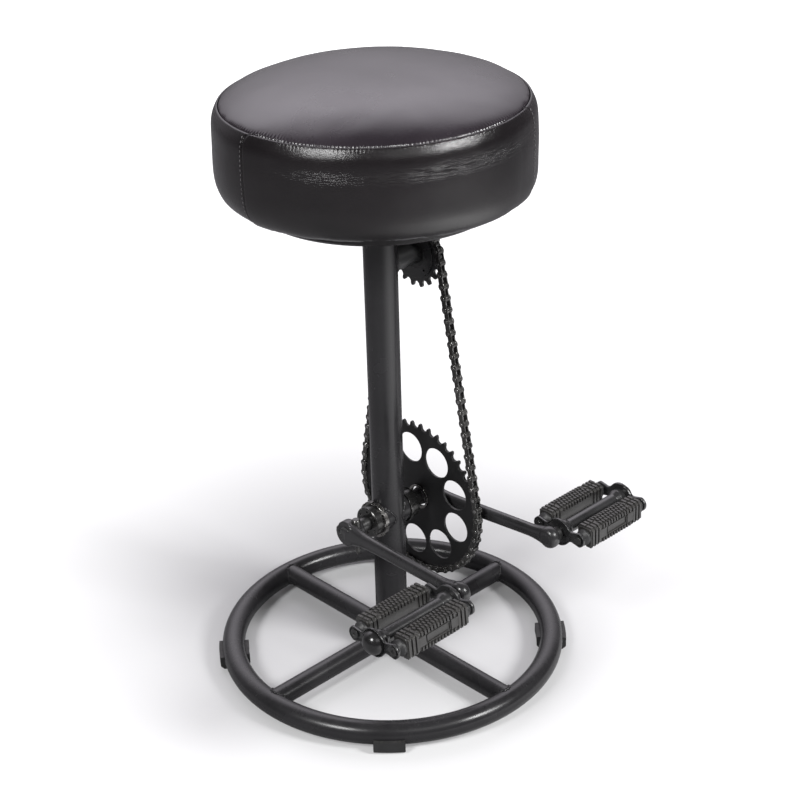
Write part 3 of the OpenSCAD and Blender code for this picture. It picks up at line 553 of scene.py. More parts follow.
# Seat: a closed shell swelled by cloth pressure, then read back panel by panel
seat = dict(
    grid=48, seamRadius=153.5 * mm, crown=25.0 * mm, crownPower=3.4, sink=4.0 * mm, sinkPower=4, sideRows=18,
    side=[(156.0, 644), (158.3, 638.5), (159.6, 631), (160.3, 617), (160.5, 600), (160.4, 585), (159.4, 572),
          (155.8, 561), (149.5, 554.4), (140.5, 551)],
    cloth=dict(quality=6, mass=0.4, tension_stiffness=14, compression_stiffness=14, shear_stiffness=8,
               bending_stiffness=4, use_pressure=True, uniform_pressure_force=4.0),
    frames=20, cap=8.0 * mm, heart=Vector((0, 0, 0.6)), topHeartHigh=20 * mm, bandHeart=(0.1, 0.6),
    around=1280, firstAngle=57.0, seams=(57.0, 176.6, 297.5), leather=2.0 * mm, poleAt=-0.15,
    topSteps=[0.0, 0.4, 0.8, 1.3, 2.0, 3.2, 5, 7, 9.5, 12.5, 16, 20, 25, 31, 38, 46, 55, 65, 76, 88, 101, 114, 126,
              136, 144, 149],
    bandSteps=[0.0, 0.4, 0.8, 1.3, 2.0, 3.2, 5, 7, 9.5, 12, 15, 18, 22, 26, 31, 36, 42, 48, 54, 60, 66, 72, 77, 82,
               86, 90, 94, 98, 102, 105, 108, 111, 114],
    profileSteps=400, lastGap=1.5 * mm, lipRadius=122.0 * mm, lipShares=((0.35, 4 * mm), (1.0, 16 * mm)),
    lean=(1.0, 0.4), shift=(-2.2 * mm, -0.6 * mm), leanFrom=551.0 * mm, leanTo=585.0 * mm,
    pucker=(1.1 * mm, 0.22 * mm), puckers=256, puckerFade=3.6 * mm, puckerDrift=2.5,
    seamDepth=(1.6 * mm, 0.8 * mm), seamWidth=(1.3 * mm, 0.6 * mm),
    tuck=(2.4 * mm, 0.6 * mm), tuckFade=(4.5 * mm, 1.5 * mm),
    wave=1.0 * mm, waveFade=20 * mm, waveScale=Vector((14, 14, 30)), ripple=0.22 * mm, rippleFade=10 * mm,
    rippleScale=45, hem=0.7 * mm, hemHigh=9 * mm,
    driftNoise=(20, 1), puckerNoise=((9, 3), (9, 5)), hemNoise=(24, 8),  # scale and height of a round noise
    sideSeamDepth=2.0 * mm, sideSeamWidth=1.0 * mm, panelStep=1.1 * mm, stepFade=30 * mm, cornerRound=8.0 * mm,
    stitchFrom=5 * mm, stitchTo=98 * mm, stitchAside=3.2 * mm, stitchLift=0.3 * mm, stitchPitch=4.4 * mm,
    stitchLong=2.7 * mm, stitchThick=0.9 * mm)
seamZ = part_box("seat_top_panel")[0].z + seat["leather"]
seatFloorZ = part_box("seat_side_band")[0].z


def crownHeight(radius):
    return seamZ + seat["crown"] * (1 - (radius / seat["seamRadius"]) ** seat["crownPower"])


def sideProfile(count):
    return smoothCurve([(seat["seamRadius"], seamZ)] + [(r * mm, z * mm) for r, z in seat["side"]], count)


def discPoint(u, v):  # a square spread evenly over a disc
    if u == 0 and v == 0:
        return 0.0, 0.0
    if abs(u) > abs(v):
        radius, angle = u, pi / 4 * v / u
    else:
        radius, angle = v, pi / 2 - pi / 4 * u / v
    return radius * cos(angle), radius * sin(angle)


def makeShell():  # the start shape, a little smaller than the seat
    size, sink = seat["grid"], seat["sink"]
    verts, faces, rims, pinned = [], [], [], set()
    for level in (1, -1):
        first = len(verts)
        for i in range(size + 1):
            for j in range(size + 1):
                x, y = discPoint(2 * i / size - 1, 2 * j / size - 1)
                radius = hypot(x, y)
                if level > 0:
                    x, y = x * seat["seamRadius"], y * seat["seamRadius"]
                    z = crownHeight(hypot(x, y)) - sink * (1 - radius ** seat["sinkPower"])
                else:
                    reach = seat["side"][-1][0] * mm
                    x, y, z = x * reach, y * reach, seatFloorZ
                    pinned.add(len(verts))
                verts.append(Vector((x, y, z)))
        for i in range(size):
            for j in range(size):
                a = first + i * (size + 1) + j
                quad = (a, a + size + 1, a + size + 2, a + 1)
                faces.append(quad if level > 0 else quad[::-1])
        edge = [(i, 0) for i in range(size)] + [(size, j) for j in range(size)] + \
            [(i, size) for i in range(size, 0, -1)] + [(0, j) for j in range(size, 0, -1)]
        rims.append([first + i * (size + 1) + j for i, j in edge])
    pinned.update(rims[0])
    rows = [rims[0]]
    for point in sideProfile(seat["sideRows"])[1:-1]:
        middle = sin(pi * (point.y - seatFloorZ) / (seamZ - seatFloorZ))
        row = []
        for top in rims[0]:
            out = verts[top].xy.normalized() * (point.x - sink * middle)
            row.append(len(verts))
            verts.append(Vector((out.x, out.y, point.y)))
        rows.append(row)
    rows.append(rims[1])
    for upper, lower in zip(rows, rows[1:]):
        for k in range(len(upper)):
            after = (k + 1) % len(upper)
            faces.append((upper[k], lower[k], lower[after], upper[after]))
    return verts, faces, sorted(pinned)


def swell(verts, faces, pinned):  # air pressure from inside, held at the seam and the underside
    shell = linkMesh("seatShell", verts, faces)
    held = shell.vertex_groups.new(name="held")
    held.add(pinned, 1.0, "REPLACE")
    cloth = shell.modifiers.new("pressure", "CLOTH")
    for key, value in seat["cloth"].items():
        setattr(cloth.settings, key, value)
    cloth.settings.vertex_group_mass = "held"
    cloth.settings.effector_weights.gravity = 0
    scene = bpy.context.scene
    for number in range(1, seat["frames"] + 1):
        scene.frame_set(number)
    swollen = shell.evaluated_get(bpy.context.evaluated_depsgraph_get()).to_mesh()
    result = []
    for start, vertex in zip(verts, swollen.vertices):
        move = vertex.co - start
        if move.length > seat["cap"]:
            move = move.normalized() * seat["cap"]
        result.append(start + move)
    bpy.data.objects.remove(shell)
    scene.frame_set(1)
    return result


def seatRays(tree, centre, targets):  # the swollen shape read along rays, its mean moved on to the target
    centreRadius, centreZ = centre
    rows = []
    for target in targets:
        reach = Vector((target.x - centreRadius, 0, target.y - centreZ))
        row = []
        for k in range(seat["around"]):
            angle = radians(seat["firstAngle"]) + 2 * pi * k / seat["around"]
            turn = Vector((cos(angle), sin(angle), 0))
            start = turn * centreRadius + Vector((0, 0, centreZ))
            along = (turn * reach.x + Vector((0, 0, reach.z))).normalized()
            hit = tree.ray_cast(start, along)[3] if tree else reach.length
            row.append([start, along, hit or reach.length])
        shift = reach.length - sum(item[2] for item in row) / len(row)
        rows.append([start + along * (hit + shift) for start, along, hit in row])
    return rows


def leaned(point):
    share = eased(ramp(point.z, seat["leanFrom"], seat["leanTo"]))
    rise = sum(at * tan(radians(lean)) for at, lean in zip(point.xy, seat["lean"]))
    return point + Vector((seat["shift"][0], seat["shift"][1], rise)) * share


def angleGap(angle, other):
    return (angle - other + pi) % (2 * pi) - pi


def panelEdge(angle, seam, length, radius):  # distance from a panel's edge, whose upper corner is rounded
    front = radians((seat["seams"][1] + seat["seams"][2]) / 2)
    inward = 1 if angleGap(front, radians(seam)) > 0 else -1
    reach, corner = inward * angleGap(angle, radians(seam)) * radius, seat["cornerRound"]
    if length < corner and seam != seat["seams"][0]:
        reach -= corner - sqrt(max(corner ** 2 - (corner - length) ** 2, 0))
    return reach


def roundNoise(angle, scale, height):
    return noise.noise(Vector((cos(angle) * scale, sin(angle) * scale, height)))


def seamPush(angle, length, radius, z):  # the upright seams and the uneven hem of the band
    push = 0.0
    for seam in seat["seams"]:
        aside = panelEdge(angle, seam, length, radius)
        push -= seat["sideSeamDepth"] * exp(-(aside / seat["sideSeamWidth"]) ** 2)
        if 0 < aside < seat["stepFade"] and seam != seat["seams"][0]:
            push += seat["panelStep"] * (1 - aside / seat["stepFade"])
    return push + max(0.0, 1 - abs(z - seatFloorZ) / seat["hemHigh"]) * seat["hem"] * \
        roundNoise(angle, *seat["hemNoise"])


def sewn(rows, lengths, isTop):  # seam valleys, puckers and soft waves pressed into a panel
    side = 0 if isTop else 1
    result = []
    for index, (row, length) in enumerate(zip(rows, lengths)):
        before, after = rows[max(index - 1, 0)], rows[min(index + 1, len(rows) - 1)]
        wave = seat["wave"] * min(length / seat["waveFade"], 1)
        ripple = seat["ripple"] * min(length / seat["rippleFade"], 1)
        pucker = seat["pucker"][side] * exp(-(length / seat["puckerFade"]) ** 2)
        valley = seat["seamDepth"][side] * exp(-(length / seat["seamWidth"][side]) ** 2)
        valley += seat["tuck"][side] * exp(-length / seat["tuckFade"][side])
        newRow = []
        for k, point in enumerate(row):
            angle = atan2(point.y, point.x)
            normal = Vector((-sin(angle), cos(angle), 0)).cross(after[k] - before[k]).normalized()
            if normal.dot(point - seat["heart"]) < 0:
                normal = -normal
            push = wave * noise.noise(point * seat["waveScale"])
            push += ripple * noise.noise(point * seat["rippleScale"]) - valley
            phase = seat["puckers"] * angle + seat["puckerDrift"] * roundNoise(angle, *seat["driftNoise"])
            push += pucker * (0.5 + roundNoise(angle, *seat["puckerNoise"][side])) * sin(phase)
            if not isTop:
                push += seamPush(angle, length, point.xy.length, point.z)
            newRow.append(leaned(point + normal * push))
        result.append(newRow)
    return result


def panelMesh(name, rows, lengths, pole, material):
    count = seat["around"]
    verts, faces = [point for row in rows for point in row], []
    for r in range(len(rows) - 1):
        for k in range(count):
            after = (k + 1) % count
            faces.append((r * count + k, (r + 1) * count + k, (r + 1) * count + after, r * count + after))
    if pole is not None:
        verts.append(pole)
        last = (len(rows) - 1) * count
        faces += [(len(verts) - 1, last + k, last + (k + 1) % count) for k in range(count)]
    piece = linkMesh(name, verts, faces, [material])
    layer = piece.data.uv_layers.new(name="panelMap")
    for polygon in piece.data.polygons:
        last = any(piece.data.loops[i].vertex_index % count == count - 1 for i in polygon.loop_indices)
        for i in polygon.loop_indices:
            vertex = piece.data.loops[i].vertex_index
            if vertex == len(verts) - 1 and pole is not None:
                layer.data[i].uv = (0, seat["poleAt"])
                continue
            k = vertex % count
            layer.data[i].uv = ((k or (count if last else 0)) / count, lengths[vertex // count])
    finishPanel(piece)
    return piece


def finishPanel(piece):
    mesh = bmesh.new()
    mesh.from_mesh(piece.data)
    bmesh.ops.recalc_face_normals(mesh, faces=mesh.faces)
    if sum(face.normal.dot(face.calc_center_median() - seat["heart"]) for face in mesh.faces) < 0:
        bmesh.ops.reverse_faces(mesh, faces=mesh.faces)
    mesh.to_mesh(piece.data)
    mesh.free()
    wall = piece.modifiers.new("leather", "SOLIDIFY")
    wall.thickness = seat["leather"]
    wall.offset = -1
    settled(piece)


def makeTop(tree):
    radius = seat["seamRadius"]
    lengths = [step * mm for step in seat["topSteps"]]
    targets = [Vector((radius - length, crownHeight(radius - length))) for length in lengths]
    top = sewn(seatRays(tree, (0.0, seatFloorZ + seat["topHeartHigh"]), targets), lengths, True)
    pole = sum(top[-1], Vector()) / len(top[-1])
    return panelMesh("seatTopPanel", top, lengths, pole, leather["topLeather"])


def makeBand(tree):
    fine = sideProfile(seat["profileSteps"])
    distance = [0.0]
    for a, b in zip(fine, fine[1:]):
        distance.append(distance[-1] + (b - a).length)
    walked = distance[-1]
    steps = [step * mm for step in seat["bandSteps"] if step * mm < walked - seat["lastGap"]] + [walked]
    targets = [fine[min(range(len(fine)), key=lambda i: abs(distance[i] - step))] for step in steps]
    rows = seatRays(tree, seat["bandHeart"], targets)
    band = sewn(rows, steps, False)
    lip = [leaned(Vector((p.x, p.y, seatFloorZ))).xy for p in rows[-1]]
    under = [[Vector((*(p * (1 - share) + p.normalized() * seat["lipRadius"] * share), seatFloorZ)) for p in lip]
             for share, _ in seat["lipShares"]]
    lengths = steps + [walked + further for _, further in seat["lipShares"]]
    piece = panelMesh("seatSideBand", band + under, lengths, None, leather["sideLeather"])
    addStitches(piece, band, steps)
    return piece


def makeSeat():
    tree = None
    verts, faces, pinned = makeShell()
    tree = BVHTree.FromPolygons(swell(verts, faces, pinned), faces)
    print("stool: seat swelled")
    return makeTop(tree), makeBand(tree)


def addStitches(piece, band, steps):  # a row of thread beside each seam of the front panel
    form = bmesh.new()
    form.from_mesh(piece.data)
    around = seat["around"]
    for seam, away in ((seat["seams"][1], -1), (seat["seams"][2], 1)):
        line = []
        for row, length in zip(band, steps):
            if length < seat["stitchFrom"] or length > seat["stitchTo"]:
                continue
            angle = radians(seam) + away * seat["stitchAside"] / row[0].xy.length
            turn = (angle - radians(seat["firstAngle"])) % (2 * pi) / (2 * pi) * around
            low, share = int(turn), turn - int(turn)
            spot = row[low % around].lerp(row[(low + 1) % around], share)
            line.append(spot + Vector((spot.x, spot.y, 0)).normalized() * seat["stitchLift"])
        base = bpy.data.meshes.new("stitchPath")
        base.from_pydata(line, [(k, k + 1) for k in range(len(line) - 1)], [])
        mesh = grown(stitchLine, base, Pitch=seat["stitchPitch"], Long=seat["stitchLong"],
                     Thick=seat["stitchThick"], Material=thread)
        for polygon in mesh.polygons:
            polygon.material_index = 1
        form.from_mesh(mesh)
    form.to_mesh(piece.data)
    form.free()
    piece.data.materials.append(thread)


seatTop, seatBand = makeSeat()
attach(seatTop, "stool")
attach(seatBand, "stool")
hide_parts("seat_top_panel")
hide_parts("seat_side_band", "seat_foam")
print("stool: seat ready")


# Cranks: forged boss, oval arm and pedal eye grown together
crank = dict(
    bossWidth=22.0, eyeHalf=7.0, armInset=5.5, armFrom=10.0, armTo=12.0, straight=0.6, steps=60, armPower=2.6,
    armAround=48, voxel=0.6 * mm, evenShare=0.5, evenTimes=9,
    arm=[  # distance from the axis, half height, half thickness
        (0, 13.0, 6.2), (7, 12.8, 6.1), (13, 11.6, 6.0), (19, 10.0, 5.8), (27, 8.7, 5.5), (42, 8.0, 5.2),
        (90, 7.6, 5.1), (140, 7.3, 5.0), (152, 7.5, 5.2), (160, 8.6, 5.7), (168, 10.2, 6.3), (175, 10.6, 6.5)],
    eye=[(0, -7.4), (5.5, -7.3), (8.8, -6.5), (10.9, -4.6), (11.9, -2.1), (12.1, 0), (11.9, 2.1), (10.9, 4.6),
         (8.8, 6.5), (5.5, 7.3), (0, 7.4)],
    boss=[(0, -11.0), (9.0, -11.0), (9.9, -10.2), (10.3, -5.6), (11.0, -3.6), (13.2, -1.6), (14.0, -0.2),
          (14.0, 10.2), (13.1, 11.0), (0, 11.0)],
    faceReach=14.5, faceDeep=3.0, faceSoft=2.0, stepFrom=5.0, stepSoft=0.8, stepTo=8.0, stepDeep=1.9,
    holeAt=(-6.2, 0.8), holeRadius=2.1, holeSoft=(1.3, 0.9), holeDeep=4.0)


def armRing(place, reach, x, high, thick):  # an arm's section, between oval and oblong
    ring = []
    for k in range(crank["armAround"]):
        a = 2 * pi * k / crank["armAround"]
        across, up = (copysign(abs(share) ** (2 / crank["armPower"]), share) for share in (cos(a), sin(a)))
        ring.append(place @ Vector(((x + across * thick) * mm, reach * mm, up * high * mm)))
    return ring


def cutFace(mesh, place, outer):  # the boss's stepped face and its blind hole
    back = place.inverted()
    holeY, holeZ = crank["holeAt"]
    for vertex in mesh.vertices:
        local = back @ vertex.co / mm
        if hypot(local.y, local.z) > crank["faceReach"] or local.x < outer - crank["faceDeep"]:
            continue
        step = 0
        if local.y < crank["stepTo"]:
            step = ramp(local.z, crank["stepFrom"], crank["stepFrom"] + crank["stepSoft"])
        hole = ramp(hypot(local.y - holeY, local.z - holeZ) / crank["holeRadius"], *crank["holeSoft"])
        near = ramp(local.x - outer + crank["faceDeep"], 0, crank["faceSoft"])
        local.x -= (crank["stepDeep"] * step + crank["holeDeep"] * hole) * near
        vertex.co = place @ (local * mm)


def makeCrank(side):
    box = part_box(f"crank_{side}")
    inner = min(abs(box[0].x), abs(box[1].x)) / mm
    outer = inner + crank["bossWidth"]
    eyeX = max(abs(box[0].x), abs(box[1].x)) / mm - crank["eyeHalf"]
    arm = middleOf(f"pedal_spindle_{side}") - crankAxis
    length = Vector((0, arm.y, arm.z)).length / mm
    place = sidePlace(side, crankAxis, arm)
    armX = outer - crank["armInset"]
    form = bmesh.new()
    addRings(form, turned(crank["boss"], place @ Matrix.Translation((((inner + outer) / 2) * mm, 0, 0))))
    addRings(form, turned(crank["eye"], place @ Matrix.Translation((eyeX * mm, length * mm, 0))))
    rings = []
    for reach, high, thick in smoothCurve(crank["arm"], crank["steps"]):
        share = ramp(reach, crank["armFrom"], length - crank["armTo"])
        share = eased(share) * (1 - crank["straight"]) + share * crank["straight"]
        rings.append(armRing(place, reach, armX + (eyeX - armX) * share, high, thick))
    rings = [[sum(rings[0], Vector()) / len(rings[0])]] + rings + [[sum(rings[-1], Vector()) / len(rings[-1])]]
    addRings(form, rings)
    piece = asPiece(f"crank{side.capitalize()}", form, hard["crankPaint"])
    grow = piece.modifiers.new("grow", "REMESH")
    grow.mode = "VOXEL"
    grow.voxel_size = crank["voxel"]
    even = piece.modifiers.new("even", "SMOOTH")
    even.factor = crank["evenShare"]
    even.iterations = crank["evenTimes"]
    mesh = settled(piece)
    cutFace(mesh, place, outer)
    mesh.materials.clear()
    mesh.materials.append(hard["crankPaint"])
    for polygon in mesh.polygons:
        polygon.material_index = 0
    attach(piece, "cranks")
    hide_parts(f"crank_{side}")


for side in sides:
    makeCrank(side)
print("stool: cranks ready")


# Weld beads where the tubes meet the post and the ring
bead = dict(thick=1.7 * mm, ripple=0.35, ripples=26, steps=104, sides=8, least=0.3)


def addBead(form, centre, along, radius, reachAt):  # a rippled bead round the end of a tube
    across = Vector((-along.y, along.x, 0))
    path = []
    for k in range(bead["steps"]):
        t = 2 * pi * k / bead["steps"]
        aside, up = radius * cos(t), radius * sin(t)
        path.append(centre + across * aside + Vector((0, 0, up)) + along * reachAt(aside, up))
    rings = []
    for k, point in enumerate(path):
        way = (path[(k + 1) % len(path)] - path[k - 1]).normalized()
        out = along.cross(way).normalized()
        thick = bead["thick"] * (1 - bead["ripple"] * abs(sin(bead["ripples"] * pi * k / len(path))))
        rings.append([point + (out * cos(a) + out.cross(way) * sin(a)) * thick
                      for a in (2 * pi * s / bead["sides"] for s in range(bead["sides"]))])
    addRings(form, rings + rings[:1])
    bmesh.ops.remove_doubles(form, verts=form.verts, dist=1e-7)


def makeWelds():
    form = bmesh.new()

    def atPost(aside, up):
        return sqrt(max(postRadius ** 2 - aside ** 2, 0))

    for node, ways in (("bracket_shell", (1, -1)), ("hub_stub", (1,))):
        low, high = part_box(node)
        for way in ways:
            addBead(form, Vector((0, (low.y + high.y) / 2, (low.z + high.z) / 2)), Vector((way, 0, 0)),
                    (high.z - low.z) / 2, atPost)
    low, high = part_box("spokes")
    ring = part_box("base_ring")
    tube, middle = (ring[1].z - ring[0].z) / 2, (ring[1].z + ring[0].z) / 2
    reach = ring[1].x - tube

    def atRing(aside, up):
        height = (low.z + high.z) / 2 + up - middle
        return sqrt((reach - sqrt(max(tube ** 2 - height ** 2, (bead["least"] * tube) ** 2))) ** 2 - aside ** 2)

    for turn in (0, pi / 2, pi, pi * 1.5):
        along = Vector((cos(turn), sin(turn), 0))
        for reachAt in (atPost, atRing):
            addBead(form, Vector((0, 0, (low.z + high.z) / 2)), along, (high.z - low.z) / 2, reachAt)
    piece = asPiece("weldBeads", form, hard["framePaint"], smooth=60)
    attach(piece, "stool")


makeWelds()
print("stool: weld beads ready")


# Pedals: the frame of each, then rubber blocks and stamped end plates
def pedalPlace(side):
    across = middleOf(f"pedal_front_block_{side}") - middleOf(f"pedal_rear_block_{side}")
    return sidePlace(side, middleOf(f"pedal_spindle_{side}"), across)


block = dict(
    nearX=94.0, length=83.0, width=20.5, height=24.5, chamfer=2.6, round=0.35, endSmall=0.93, endSoft=0.8,
    sink=0.4, lugHigh=1.7, ribHigh=1.4, pitch=4.4, endPitch=5.3, endRows=3, endShift=0.1,
    lug=dict(columns=3, taper=0.8, Column_Pitch=5.4, Long=2.9, Wide=4.7),
    endLug=dict(columns=2, taper=0.84, Column_Pitch=8.6, Long=3.4, Wide=7.6),
    rib=dict(taper=0.8, Long=2.6, Wide=5.0), ribDown=2.4, endRib=dict(taper=0.88, Long=3.4), endRibShort=1.2,
    pad=dict(taper=0.95, Long=11.0, Wide=11.0), padAt=22.5, padShare=(0.995, 0.8),
    frame=(31.0, 8.4), frameWide=0.7, frameTaper=0.9, frameShare=(0.99, 0.7))


def addLugs(form, place, rows, taper, columns=1, **sizes):  # a row of lugs with sizes in millimetres
    sizes = {label: size * mm for label, size in sizes.items()}
    mesh = grown(lugRows, None, Rows=rows, Columns=columns, Taper=taper, Material=blockRubber, **sizes)
    mesh.transform(place)
    form.from_mesh(mesh)
    bpy.data.meshes.remove(mesh)


def addBlock(form, base, front):  # front is the side with the bare field, 1 or -1
    w, h, c = block["width"] / 2 - block["ribHigh"], block["height"] / 2 - block["lugHigh"], block["chamfer"]
    half, near = block["length"] / 2, c * block["round"]
    upper = [(-w, h - c), (near - w, h - near), (c - w, h), (0, h), (w - c, h), (w - near, h - near), (w, h - c)]
    outline = upper + [(w, 0)] + [(-y, -z) for y, z in upper] + [(-w, 0)]
    rings = [[shifted(base, -half, 0, 0).translation]]
    for x, size in ((-half, block["endSmall"]), (block["endSoft"] - half, 1), (half - block["endSoft"], 1),
                    (half, block["endSmall"])):
        rings.append([base @ Vector((x * mm, y * size * mm, z * size * mm)) for y, z in outline])
    addRings(form, rings + [[shifted(base, half, 0, 0).translation]])
    sink, pitch, endPitch = block["sink"], block["pitch"], block["endPitch"]
    ends = block["endRows"] * endPitch
    rows, reach = int((block["length"] - 2 * ends) / pitch), half - ends / 2 + block["endShift"]
    tall, deep = block["lugHigh"] + sink, block["ribHigh"] + sink
    lift, lean = h + (block["lugHigh"] - sink) / 2, w + (block["ribHigh"] - sink) / 2
    for turn in (0, pi):
        top = base @ Matrix.Rotation(turn, 4, "X")
        addLugs(form, shifted(top, -pitch / 4, 0, lift), rows, Row_Pitch=pitch, Stagger=pitch / 2, High=tall,
                **block["lug"])
        for way in (1, -1):
            addLugs(form, shifted(top, way * reach, 0, lift), block["endRows"], Row_Pitch=endPitch, High=tall,
                    **block["endLug"])
        for outward in (1, -1):
            wall = top @ Matrix.Rotation(outward * -pi / 2, 4, "X")
            addLugs(form, shifted(wall, 0, -outward * (h - block["ribDown"]), lean), rows, Row_Pitch=pitch,
                    High=deep, **block["rib"])
    for outward in (1, -1):
        wall = base @ Matrix.Rotation(outward * -pi / 2, 4, "X")
        for way in (1, -1):
            addLugs(form, shifted(wall, way * reach, 0, lean), block["endRows"], Row_Pitch=endPitch,
                    Wide=2 * h - block["endRibShort"], High=deep, **block["endRib"])
            if outward == front:
                out, share = block["padShare"]
                addLugs(form, shifted(wall, way * block["padAt"], 0, lean * out), 1, High=deep * share,
                        **block["pad"])
    wall = base @ Matrix.Rotation(front * -pi / 2, 4, "X")
    (x, y), line, (out, share) = block["frame"], block["frameWide"], block["frameShare"]
    for long, wide, atX, atY in ((x, line, 0, y / 2), (line, y, x / 2, 0)):
        for way in (-1, 1):
            addLugs(form, shifted(wall, way * atX, way * atY, lean * out), 1, block["frameTaper"], Long=long,
                    Wide=wide, High=deep * share)


def makeBlocks(side):
    place = pedalPlace(side)
    aside = abs((place.inverted() @ middleOf(f"pedal_front_block_{side}")).y) / mm
    form = bmesh.new()
    for end in (1, -1):
        addBlock(form, shifted(place, block["nearX"] + block["length"] / 2, end * aside, 0), end)
    piece = asPiece(f"pedalBlocks{side.capitalize()}", form, blockRubber)
    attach(piece, f"pedal_{side}")
    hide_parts(f"pedal_front_block_{side}", f"pedal_rear_block_{side}")


plate = dict(
    innerX=86.0, outerX=185.0, sheet=1.3, hub=15.6, lobe=7.9, lobeAt=27.0, web=4.6, blend=6.0, around=220,
    search=(5.0, 40.0), halvings=30,
    rings=[  # inset from the outline, height above the sheet's block side
        (1.7, 0.0), (0.5, 0.3), (0.05, 1.1), (0.0, 2.2), (0.12, 3.2), (0.6, 3.5), (1.1, 3.2), (1.35, 2.2),
        (2.0, 1.55), (3.0, 1.3)])


def plateReach(angle):  # how far the wavy outline lies from the middle, by a soft union of discs and a bar
    direction, lobeAt = Vector((cos(angle), sin(angle))), plate["lobeAt"]
    low, high = plate["search"]
    for _ in range(plate["halvings"]):
        middle = (low + high) / 2
        spot = direction * middle
        total = spot.length - plate["hub"]
        for other in (*((spot - Vector((at, 0))).length - plate["lobe"] for at in (lobeAt, -lobeAt)),
                      max(abs(spot.y) - plate["web"], abs(spot.x) - lobeAt)):
            share = max(plate["blend"] - abs(total - other), 0) / plate["blend"]
            total = min(total, other) - share ** 2 * plate["blend"] / 4
        low, high = (middle, high) if total < 0 else (low, middle)
    return low


cap = dict(
    baseX=186.1, steps=28, around=56,
    profile=[(12.7, -0.8), (13.0, 0.6), (12.8, 2.4), (11.9, 5.2), (10.2, 7.9), (7.6, 10.2), (4.2, 11.7), (0.0, 12.2)])


def makeCap(side):
    curve = [(p.x, p.y) for p in smoothCurve(cap["profile"], cap["steps"])]
    curve = [(0, cap["profile"][0][1])] + curve[:-1] + [(0, cap["profile"][-1][1])]
    form = bmesh.new()
    addRings(form, turned(curve, shifted(pedalPlace(side), cap["baseX"], 0, 0), cap["around"]))
    piece = asPiece(f"pedalCap{side.capitalize()}", form, hard["capMetal"], smooth=50)
    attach(piece, f"pedal_{side}")
    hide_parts(f"pedal_dust_cap_{side}")


def makePlates(side):
    place = pedalPlace(side)
    count = plate["around"]
    angles = [2 * pi * k / count for k in range(count)]
    outline = [Vector((cos(a), sin(a))) * plateReach(a) for a in angles]
    ways = [outline[(k + 1) % count] - outline[k - 1] for k in range(count)]
    normals = [Vector((way.y, -way.x)).normalized() for way in ways]
    form = bmesh.new()
    for at, facing in ((plate["innerX"], -1), (plate["outerX"], 1)):
        rings = [[place @ Vector((at * mm, 0, 0))]]
        for inset, high in plate["rings"]:
            flat = [spot - normal * inset for spot, normal in zip(outline, normals)]
            rings.append([shifted(place, at + facing * high, *spot).translation for spot in flat])
        addRings(form, rings + [[shifted(place, at + facing * plate["sheet"], 0, 0).translation]])
    piece = asPiece(f"pedalPlates{side.capitalize()}", form, hard["pedalMetal"], smooth=40)
    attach(piece, f"pedal_{side}")
    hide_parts(f"pedal_inner_plate_{side}", f"pedal_outer_plate_{side}")


for side in sides:
    makeBlocks(side)
    makePlates(side)
    makeCap(side)
print("stool: pedals ready")


# Studio: a white floor, a glow behind, lamps and camera
studio = dict(
    # floorColour is the floor's own colour; reflections see a darker one, a painted dimming of the floor's reflection
    floorSize=14.0, floorColour=(0.46, 0.46, 0.465, 1), floorDimmedInReflections=(0.3, 0.3, 0.305, 1), floorRough=0.7,
    floorShine=0.1,
    # a patch of floor at the right front that glows only in reflections: a painted reflection on the post and arms
    reflectedGlowAt=(0.22, -0.85, 0), reflectedGlowReach=0.78, reflectedGlowStrength=2.9, glowAt=(0.05, 0.1, 0), floorGlow=0.02,
    # the camera-only floor glow stays low near the stool, a painted shade under and round it, and whitens the floor
    # further out
    nearReach=(0.13, 0.54), nearGlow=0.7, farReach=(1.0, 3.0), farGlow=0.9,
    skyBase=0.08, skyColour=(1.0, 0.955, 1.03, 1), backDirection=(0.55, 0.835, 0.0), backFrom=0.35, backTo=0.85,
    backSteep=4.4, backLevel=0.28, backMost=1.7, backCut=(0.84, 0.92), backPower=0.73,
    lamps=[  # name, place, size, power
        ("keyLamp", (-0.95, -2.2, 2.25), 1.4, 8.0),
        ("leftLamp", (-2.35, -0.3, 2.2), 0.9, 72.0),
        ("rightLamp", (0.72, -2.38, 2.0), 0.9, 92.0)],
    lampTarget=(0, 0, 0.4))
view = dict(
    sensor=36.0, lens=74.55, azimuth=-42.926, distance=1.5726, height=1.1132, pitch=26.912, yaw=0.585, roll=1.612)


def makeFloor():
    half = studio["floorSize"] / 2
    material, tree, shader = newMaterial("studioFloor")
    corners = [(-half, -half, 0), (half, -half, 0), (half, half, 0), (-half, half, 0)]
    floor = linkMesh("studioFloor", corners, [(0, 1, 2, 3)], [material])
    rays = addNode(tree, "ShaderNodeLightPath").outputs
    # camera rays see the floor brighter with distance from the stool; near it the glow stays low, a painted shade
    # round the stool
    away = vectorMaths(tree, "DISTANCE", objectPlace(tree), studio["glowAt"])
    near = remap(tree, away, *studio["nearReach"], studio["floorGlow"], studio["nearGlow"])
    glow = maths(tree, "ADD", near, remap(tree, away, *studio["farReach"], 0.0, studio["farGlow"]))
    # painted reflection: the patch glows for glossy rays only
    away = vectorMaths(tree, "DISTANCE", objectPlace(tree), studio["reflectedGlowAt"])
    paintedReflection = remap(tree, away, studio["reflectedGlowReach"], 0.0, 0.0, studio["reflectedGlowStrength"])
    seen = product(tree, rays["Is Camera Ray"], glow)
    # reflections see the darker floor colour, a painted dimming of the floor's reflection
    fill(tree, shader, {
        "Base Color": blendColour(tree, rays["Is Glossy Ray"], studio["floorColour"], studio["floorDimmedInReflections"]),
        "Roughness": studio["floorRough"], "Specular IOR Level": studio["floorShine"],
        "Emission Color": (1, 1, 1, 1),
        "Emission Strength": maths(tree, "ADD", seen, product(tree, rays["Is Glossy Ray"], paintedReflection))})


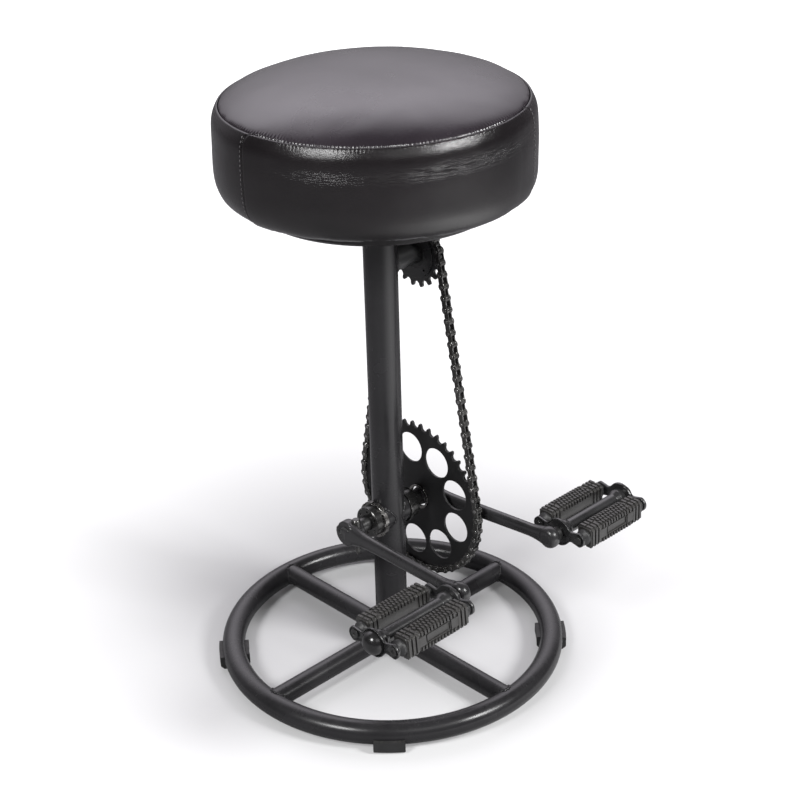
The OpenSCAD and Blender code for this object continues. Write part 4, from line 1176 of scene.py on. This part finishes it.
def makeWorld():
    world = bpy.data.worlds.new("studioWorld")
    bpy.context.scene.world = world
    world.use_nodes = True
    tree = world.node_tree
    rays = addNode(tree, "ShaderNodeLightPath").outputs
    way = addNode(tree, "ShaderNodeTexCoord").outputs["Generated"]
    height = split(tree, way)["Z"]
    behind = vectorMaths(tree, "DOT_PRODUCT", way, studio["backDirection"])
    back = remap(tree, behind, studio["backFrom"], studio["backTo"])
    over = product(tree, maths(tree, "SUBTRACT", height, studio["backLevel"]), studio["backSteep"])
    rise = maths(tree, "EXPONENT", maths(tree, "MINIMUM", over, studio["backMost"]))
    cut = remap(tree, height, *studio["backCut"], studio["backPower"], 0.0)
    sky = maths(tree, "ADD", product(tree, back, rise, cut), studio["skyBase"])
    fill(tree, tree.nodes["Background"], {
        "Color": blendColour(tree, rays["Is Camera Ray"], studio["skyColour"], (1, 1, 1, 1)),
        "Strength": remap(tree, rays["Is Camera Ray"], 0, 1, sky, 1.0)})


def makeLamps():
    target = Vector(studio["lampTarget"])
    for name, place, size, power in studio["lamps"]:
        data = bpy.data.lights.new(name, "AREA")
        data.shape = "DISK"
        data.size = size
        data.energy = power
        lamp = linked(name, data)
        lamp.location = place
        lamp.rotation_euler = (target - Vector(place)).to_track_quat("-Z", "Y").to_euler()


def makeCamera():
    turn, pitch, yaw, roll = (radians(view[k]) for k in ("azimuth", "pitch", "yaw", "roll"))
    data = bpy.data.cameras.new("photoCamera")
    data.lens = view["lens"]
    data.sensor_width = view["sensor"]
    data.sensor_fit = "HORIZONTAL"
    camera = linked("photoCamera", data)
    place = Vector((sin(turn) * view["distance"], -cos(turn) * view["distance"], view["height"]))
    turns = Matrix.Rotation(turn - yaw, 4, "Z") @ Matrix.Rotation(pi / 2 - pitch, 4, "X")
    camera.matrix_world = Matrix.Translation(place) @ turns @ Matrix.Rotation(-roll, 4, "Z")
    bpy.context.scene.camera = camera


makeFloor()
makeWorld()
makeLamps()
makeCamera()
bpy.context.scene.view_settings.view_transform = "Standard"
print("stool: studio ready")
